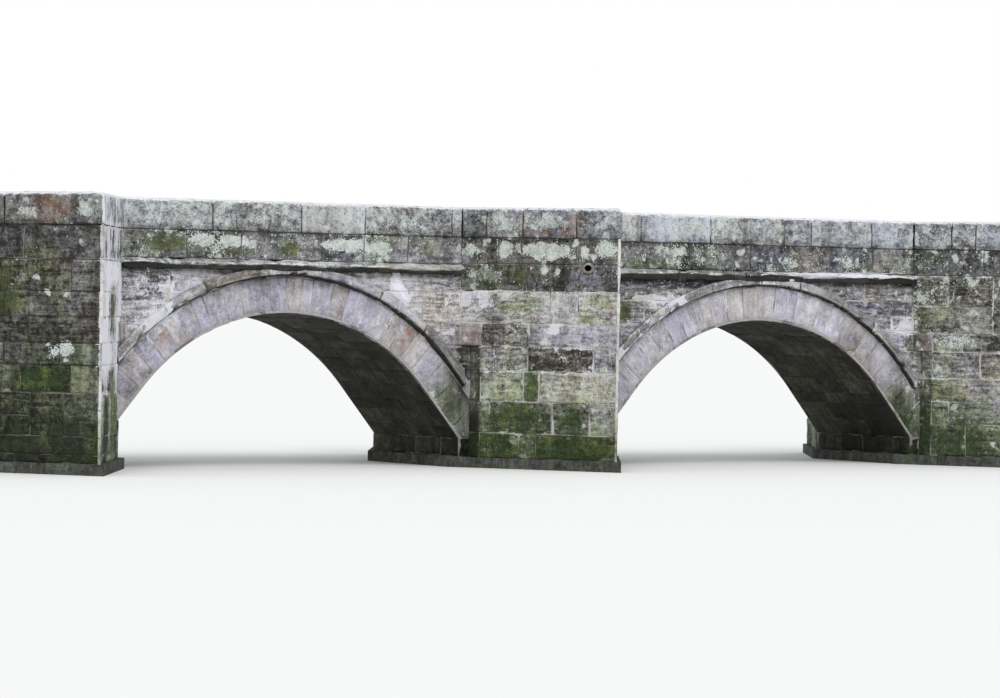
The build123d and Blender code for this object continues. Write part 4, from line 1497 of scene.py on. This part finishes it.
# Corbel stones under the roots of the upper cutwaters
corbels = Piece("corbel_blocks", "corbel_stone", corbel_stone, ["corbel_stones_front", "corbel_stones_back"])
lip_x = half_pier + corbel_lip * (1 - sin_face) / cos_face
lip_y = -face_y - corbel_lip
tail_y = -face_y + corbel_tail
recess_y = -face_y - root_setback
corners = [(-corbel_x, tail_y), (-corbel_x, lip_y), (-lip_x, lip_y)]
corners += [(-lower_root - corbel_lip * cos_face, recess_y - corbel_lip * sin_face)]
corners += [(-lower_root, recess_y), (-lower_root, tail_y)]
corbel_section = section_loop(corners, [0.004, 0.02, 0.004, 0.008, 0.004, 0.004], 0.04)
heights = (corbel_low[2], corbel_high[2])
for k, x in enumerate(pier_x):
    facts = dict(hue=0.5, tone=0.35) if k == 2 else dict(hue=0.5, tone=0.6, rust=0.08)
    for side_x in sides:
        for side_y in sides:
            place = (x, side_x, side_y)
            corbels.loft(corbel_section, upward_run, *heights, place, step=0.04, gap=0.002, **facts)

# String courses
hidden = ["string_course_front", "string_course_back"]
strings = Piece("string_stones", "moulded_stone", moulded_stone, hidden)
string_reach = string_y - face_y
string_depth = string_y - inner_y
string_foot = bed_level - 0.014
corners = [(0, string_foot), (0, string_top - string_weathering), (string_reach, string_top)]
corners += [(string_depth - 0.004, string_top), (string_depth - 0.004, bed_level + 0.002)]
corners += [(string_reach + 0.01, string_foot)]
string_section = section_loop(corners, [0.008, 0.014, 0.01, 0.004, 0.004, 0.004], 0.018)
core_out = 0.016
corners = [(core_out, bed_level + core_out), (core_out, string_top - string_weathering - 0.01)]
corners += [(string_reach, string_top - core_out), (string_depth - core_out, string_top - core_out)]
corners += [(string_depth - core_out, bed_level + core_out)]
string_core = section_loop(corners, [0.004] * 5, 0.3)


def string_end(x, side):
    """End of a string course: square in front of the wall and mitred behind its face."""

    def line(p):
        into = np.clip(p - string_reach, 0, None)
        return x + side * into * (1 - sin_face) / cos_face

    return line


# Stretches between the cutwaters: the stub at each end and the bays, from x to x
runs = [(-end_x, pier_x[0] - half_pier)]
runs += [(a + half_pier, b - half_pier) for a, b in zip(pier_x, pier_x[1:])]
runs += [(pier_x[-1] + half_pier, end_x)]
string_line = straight_run((0, -string_y), (1, 0))
let_in = 0.004
facts = dict(gap=0.004, rounding=0.006, relief=1.1, furrow=0.5)
for n, (a, b) in enumerate(runs):
    start = a if n == 0 else string_end(a - let_in, -1)
    stop = b if n == len(runs) - 1 else string_end(b + let_in, 1)
    for side_y in sides:
        place = (0, 1, side_y)
        for first, last in spans(joints_between(a, b, 0.85, 0.35), start, stop):
            strings.loft(string_section, string_line, first, last, place, **facts)
        cores.loft(string_core, string_line, a + 0.02, b - 0.02, place, step=0.5, relief=0.0)

# Parapets: outer faces in the bays, and inner faces of bays and refuges
parapets = Piece("parapet_stones", "parapet_stone", parapet_stone)
# Joints seen in the photograph, by stretch, as x
seen_parapets = {1: [-8.00, -7.30, -6.27, -5.70, -5.11]}
inner_heights = (paving_top, coping_bottom)
for n, (a, b) in enumerate(runs):
    for side_y in sides:
        place = (0, 1, side_y)
        outer = upright(Path([(a, -face_y), (b, -face_y)]))
        seen = [s - a for s in seen_parapets.get(n, [])] if side_y > 0 else []
        for c, d in spans(filled(0, b - a, seen, 1.1, 0.68)):
            tone = rng.uniform(0.3, 0.75)
            parapets.lay(outer, c, d, string_top, coping_bottom, place, rounding=0.009, tone=tone)
        back = half_pier - inner_root
        c = a if n == 0 else a - back
        d = b if n == len(runs) - 1 else b + back
        inner = upright(Path([(c, -inner_y), (d, -inner_y)], side=-1))
        for e, f in spans(joints_between(0, d - c, 0.72, 0.25)):
            parapets.lay(inner, e, f, *inner_heights, place, step=0.08)
inner = Path([(-inner_root, -inner_y), (0, -inner_nose)], side=-1)
for _, x, side_x, side_y in quarters:
    for e, f in spans(joints_between(0, inner.length, 0.6, 0.2)):
        parapets.lay(upright(inner), e, f, *inner_heights, (x, side_x, side_y), step=0.08)

# Copings with rounded shoulders, mitred at the roots and noses
hidden = ["parapet_coping_front", "parapet_coping_back"]
hidden += [f"refuge_coping_{side}_{half}" for side in ("front", "back") for half in ("left", "right")]
copings = Piece("coping_stones", "coping_stone", coping_stone, hidden)
under, over = coping_bottom + 0.004, coping_top - 0.003
corners = [(0, under), (0, over), (coping_width, over), (coping_width, under)]
coping_section = section_loop(corners, [0.012, coping_rounding, coping_rounding, 0.012], 0.055)
inset = 0.016
under, over = coping_bottom - 0.002, coping_top - inset - 0.02
corners = [(inset, under), (inset, over), (coping_width - inset, over), (coping_width - inset, under)]
coping_core = section_loop(corners, [0.004, 0.06, 0.06, 0.004], 0.4)
root_slope = (1 - sin_face) / cos_face
nose_slope = cos_face / sin_face
root_x = half_pier + coping_overhang * root_slope
nose_tip = nose_y + coping_overhang / sin_face
coping_length = math.hypot(root_x, nose_tip - coping_y)


def coping_course(line, cuts, start, stop, place, tones=()):
    """A row of coping stones. Those past the given tones get one at random."""
    for i, (first, last) in enumerate(spans(cuts, start, stop)):
        tone = tones[i] if i < len(tones) else rng.uniform(0.4, 0.9)
        facts = dict(tone=tone, rounding=0.022, relief=1.1)
        copings.loft(coping_section, line, first, last, place, gap=0.008, step=0.065, **facts)


def mitre_start(p):
    """Start of a refuge's coping, on the mitre at the root."""
    return -p * root_slope


def mitre_stop(p):
    """End of a refuge's coping, on the mitre at the nose."""
    return coping_length - p * nose_slope


# Joints of the copings seen in the photograph, by stretch, as x
seen_copings = {1: [-7.67, -6.53, -5.69, -4.52], 2: [-1.88, -0.86, 0.23, 0.64, 1.56]}
coping_line = straight_run((0, -coping_y), (1, 0))
for n, (a, b) in enumerate(runs):
    at_start, at_end = n == 0, n == len(runs) - 1
    begin = a + 0.004 if at_start else a + root_x - half_pier
    end = b - 0.004 if at_end else b - (root_x - half_pier)
    start = begin if at_start else (lambda p, s=begin: s - p * root_slope)
    stop = end if at_end else (lambda p, s=end: s + p * root_slope)
    for side_y in sides:
        place = (0, 1, side_y)
        seen = seen_copings.get(n, []) if side_y > 0 else []
        cuts = filled(begin, end, seen, 1.3, 0.95) if seen else joints_between(begin, end, 0.95, 0.25)
        coping_course(coping_line, cuts, start, stop, place)
        ends = (begin + 0.02 if at_start else start, end - 0.02 if at_end else stop)
        cores.loft(coping_core, coping_line, *ends, place, step=0.5, relief=0.0)
line = straight_run((-root_x, -coping_y), (root_x, coping_y - nose_tip))
for k, x, side_x, side_y in quarters:
    place = (x, side_x, side_y)
    seen = seen_coping_joints.get(k, []) if side_x > 0 and side_y > 0 else []
    cuts = filled(0, coping_length, [s for s in seen if s < coping_length - 0.5], 0.95, 0.65)
    cuts = [c for c in cuts[:-1] if c < coping_length - 0.62 or c in seen] + [coping_length]
    coping_course(line, cuts, mitre_start, mitre_stop, place, rng.uniform(0.32, 0.62, 4))
    cores.loft(coping_core, line, mitre_start, mitre_stop, place, step=0.5, relief=0.0)

# Paving of the walkway and the refuges
flags = Piece("paving_flags", "paving_stone", paving_stone)
paving = dict(proud=0.004, rounding=0.01)
for a, b in spans(joints_between(-end_x, end_x, 0.62, 0.25)):
    for c, d in spans([-inner_y, rng.uniform(-0.3, 0.3), inner_y]):
        flags.lay(level(paving_top), a, b, c, d, (0, 1, 1), step=0.11, **paving)


def half_refuge(v):
    """Half the width of a refuge's floor where y is v."""
    return inner_root * (v + inner_nose) / (inner_nose - inner_y)


for _, x, side_y in pier_sides:
    for c, d in spans(joints_between(-inner_nose + 0.10, -inner_y, 0.42, 0.15)):
        middle = rng.uniform(-0.08, 0.08)
        for left, right in ((lambda v: -half_refuge(v), middle), (middle, half_refuge)):
            flags.lay(level(paving_top), left, right, c, d, (x, 1, side_y), step=0.1, **paving)

# Mortar along the noses
noses = Piece("nose_mortar", "cutwater_stone", white_mortar)
bead = 0.017
bead_points = 8
angle = np.arange(bead_points) * 2 * math.pi / bead_points
circle = np.column_stack([np.cos(angle), np.sin(angle)])
bead_middle = np.array([0, -nose_y + 0.004])
bead_section = (circle * bead + bead_middle, circle, np.full(bead_points, far_away))
facts = dict(relief=1.2, rounding=0.004)
for _, x, side_y in pier_sides:
    for a, b in spans(joints_between(footing_top, coping_bottom, 0.33, 0.3)):
        noses.loft(bead_section, upward_run, a, b, (x, 1, side_y), step=0.06, gap=0.0, **facts)

for piece, weather in (
    (cutwaters, weather_cutwater), (refuges, weather_parapet), (spandrels, weather_spandrel),
    (voussoirs, weather_ring), (soffits, soffit_shade_and_weather), (jambs, weather_low), (moulds, weather_hood),
    (corbels, weather_spandrel), (strings, weather_string), (parapets, weather_parapet),
    (copings, weather_coping), (flags, weather_path), (noses, weather_nose), (cores, weather_spandrel),
):
    piece.build(weather)

# Materials of the solids that show between the stones
solid_materials = {"drain_pipe": clay, "pier_footings": footing_stone}
for name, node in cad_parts.items():
    mortar = ring_mortar if name.startswith(("pier", "arch")) else pale_mortar
    node.data.materials.clear()
    node.data.materials.append(solid_materials.get(name, mortar))

# Floor, light and camera
edge = 900.0
floor_mesh = bpy.data.meshes.new("floor")
floor_corners = [(-edge, -edge, 0), (edge, -edge, 0), (edge, edge, 0), (-edge, edge, 0)]
floor_mesh.from_pydata(floor_corners, [], [(0, 1, 2, 3)])
floor = shown("floor", floor_mesh)
floor_shader = Shader("floor_pale")
floor_mesh.materials.append(floor_shader.finish((0.80, 0.80, 0.79, 1), floor_shader.noise(3.0), 0.02, 0.9))
floor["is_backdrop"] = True

world = bpy.data.worlds.new("studio")
bpy.context.scene.world = world
world.use_nodes = True
tree = world.node_tree
tree.nodes.clear()
either = tree.nodes.new("ShaderNodeMixShader")
# The sky that lights the bridge, and the plain one that the camera sees
for number, colour, strength in ((1, (0.95, 0.975, 1.0, 1), 0.85), (2, (1, 1, 1, 1), 1.0)):
    sky = tree.nodes.new("ShaderNodeBackground")
    sky.inputs["Color"].default_value = colour
    sky.inputs["Strength"].default_value = strength
    tree.links.new(sky.outputs[0], either.inputs[number])
seen_by = tree.nodes.new("ShaderNodeLightPath")
output = tree.nodes.new("ShaderNodeOutputWorld")
tree.links.new(seen_by.outputs["Is Camera Ray"], either.inputs[0])
tree.links.new(either.outputs[0], output.inputs[0])

sun_data = bpy.data.lights.new("soft_sun", "SUN")
sun_data.energy = 1.5
sun_data.angle = math.radians(35)
sun_data.color = (1.0, 0.99, 0.97)
sun = shown("soft_sun", sun_data)
sun.rotation_euler = Vector((0.35, 0.75, -1.0)).to_track_quat("-Z", "Y").to_euler()

# The camera fitted to the photograph: place, turn to the right, tilt up and roll
camera_place = Vector((-30.9045, -43.9761, 1.9113))
yaw, tilt, roll = 0.5618, -0.0105, 0.0178
ahead = Vector((math.sin(yaw) * math.cos(tilt), math.cos(yaw) * math.cos(tilt), math.sin(tilt)))
flat_right = Vector((math.cos(yaw), -math.sin(yaw), 0))
flat_up = flat_right.cross(ahead)
right_way = flat_right * math.cos(roll) + flat_up * math.sin(roll)
up_way = -flat_right * math.sin(roll) + flat_up * math.cos(roll)
camera_data = bpy.data.cameras.new("camera")
camera_data.sensor_width = 36.0
camera_data.lens = 156.44
camera_data.clip_end = 3000.0
camera = shown("camera", camera_data)
turned = Matrix((right_way, up_way, -ahead)).transposed().to_4x4()
camera.matrix_world = Matrix.Translation(camera_place) @ turned
bpy.context.scene.camera = camera
bpy.context.scene.view_settings.view_transform = "Standard"

low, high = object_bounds()
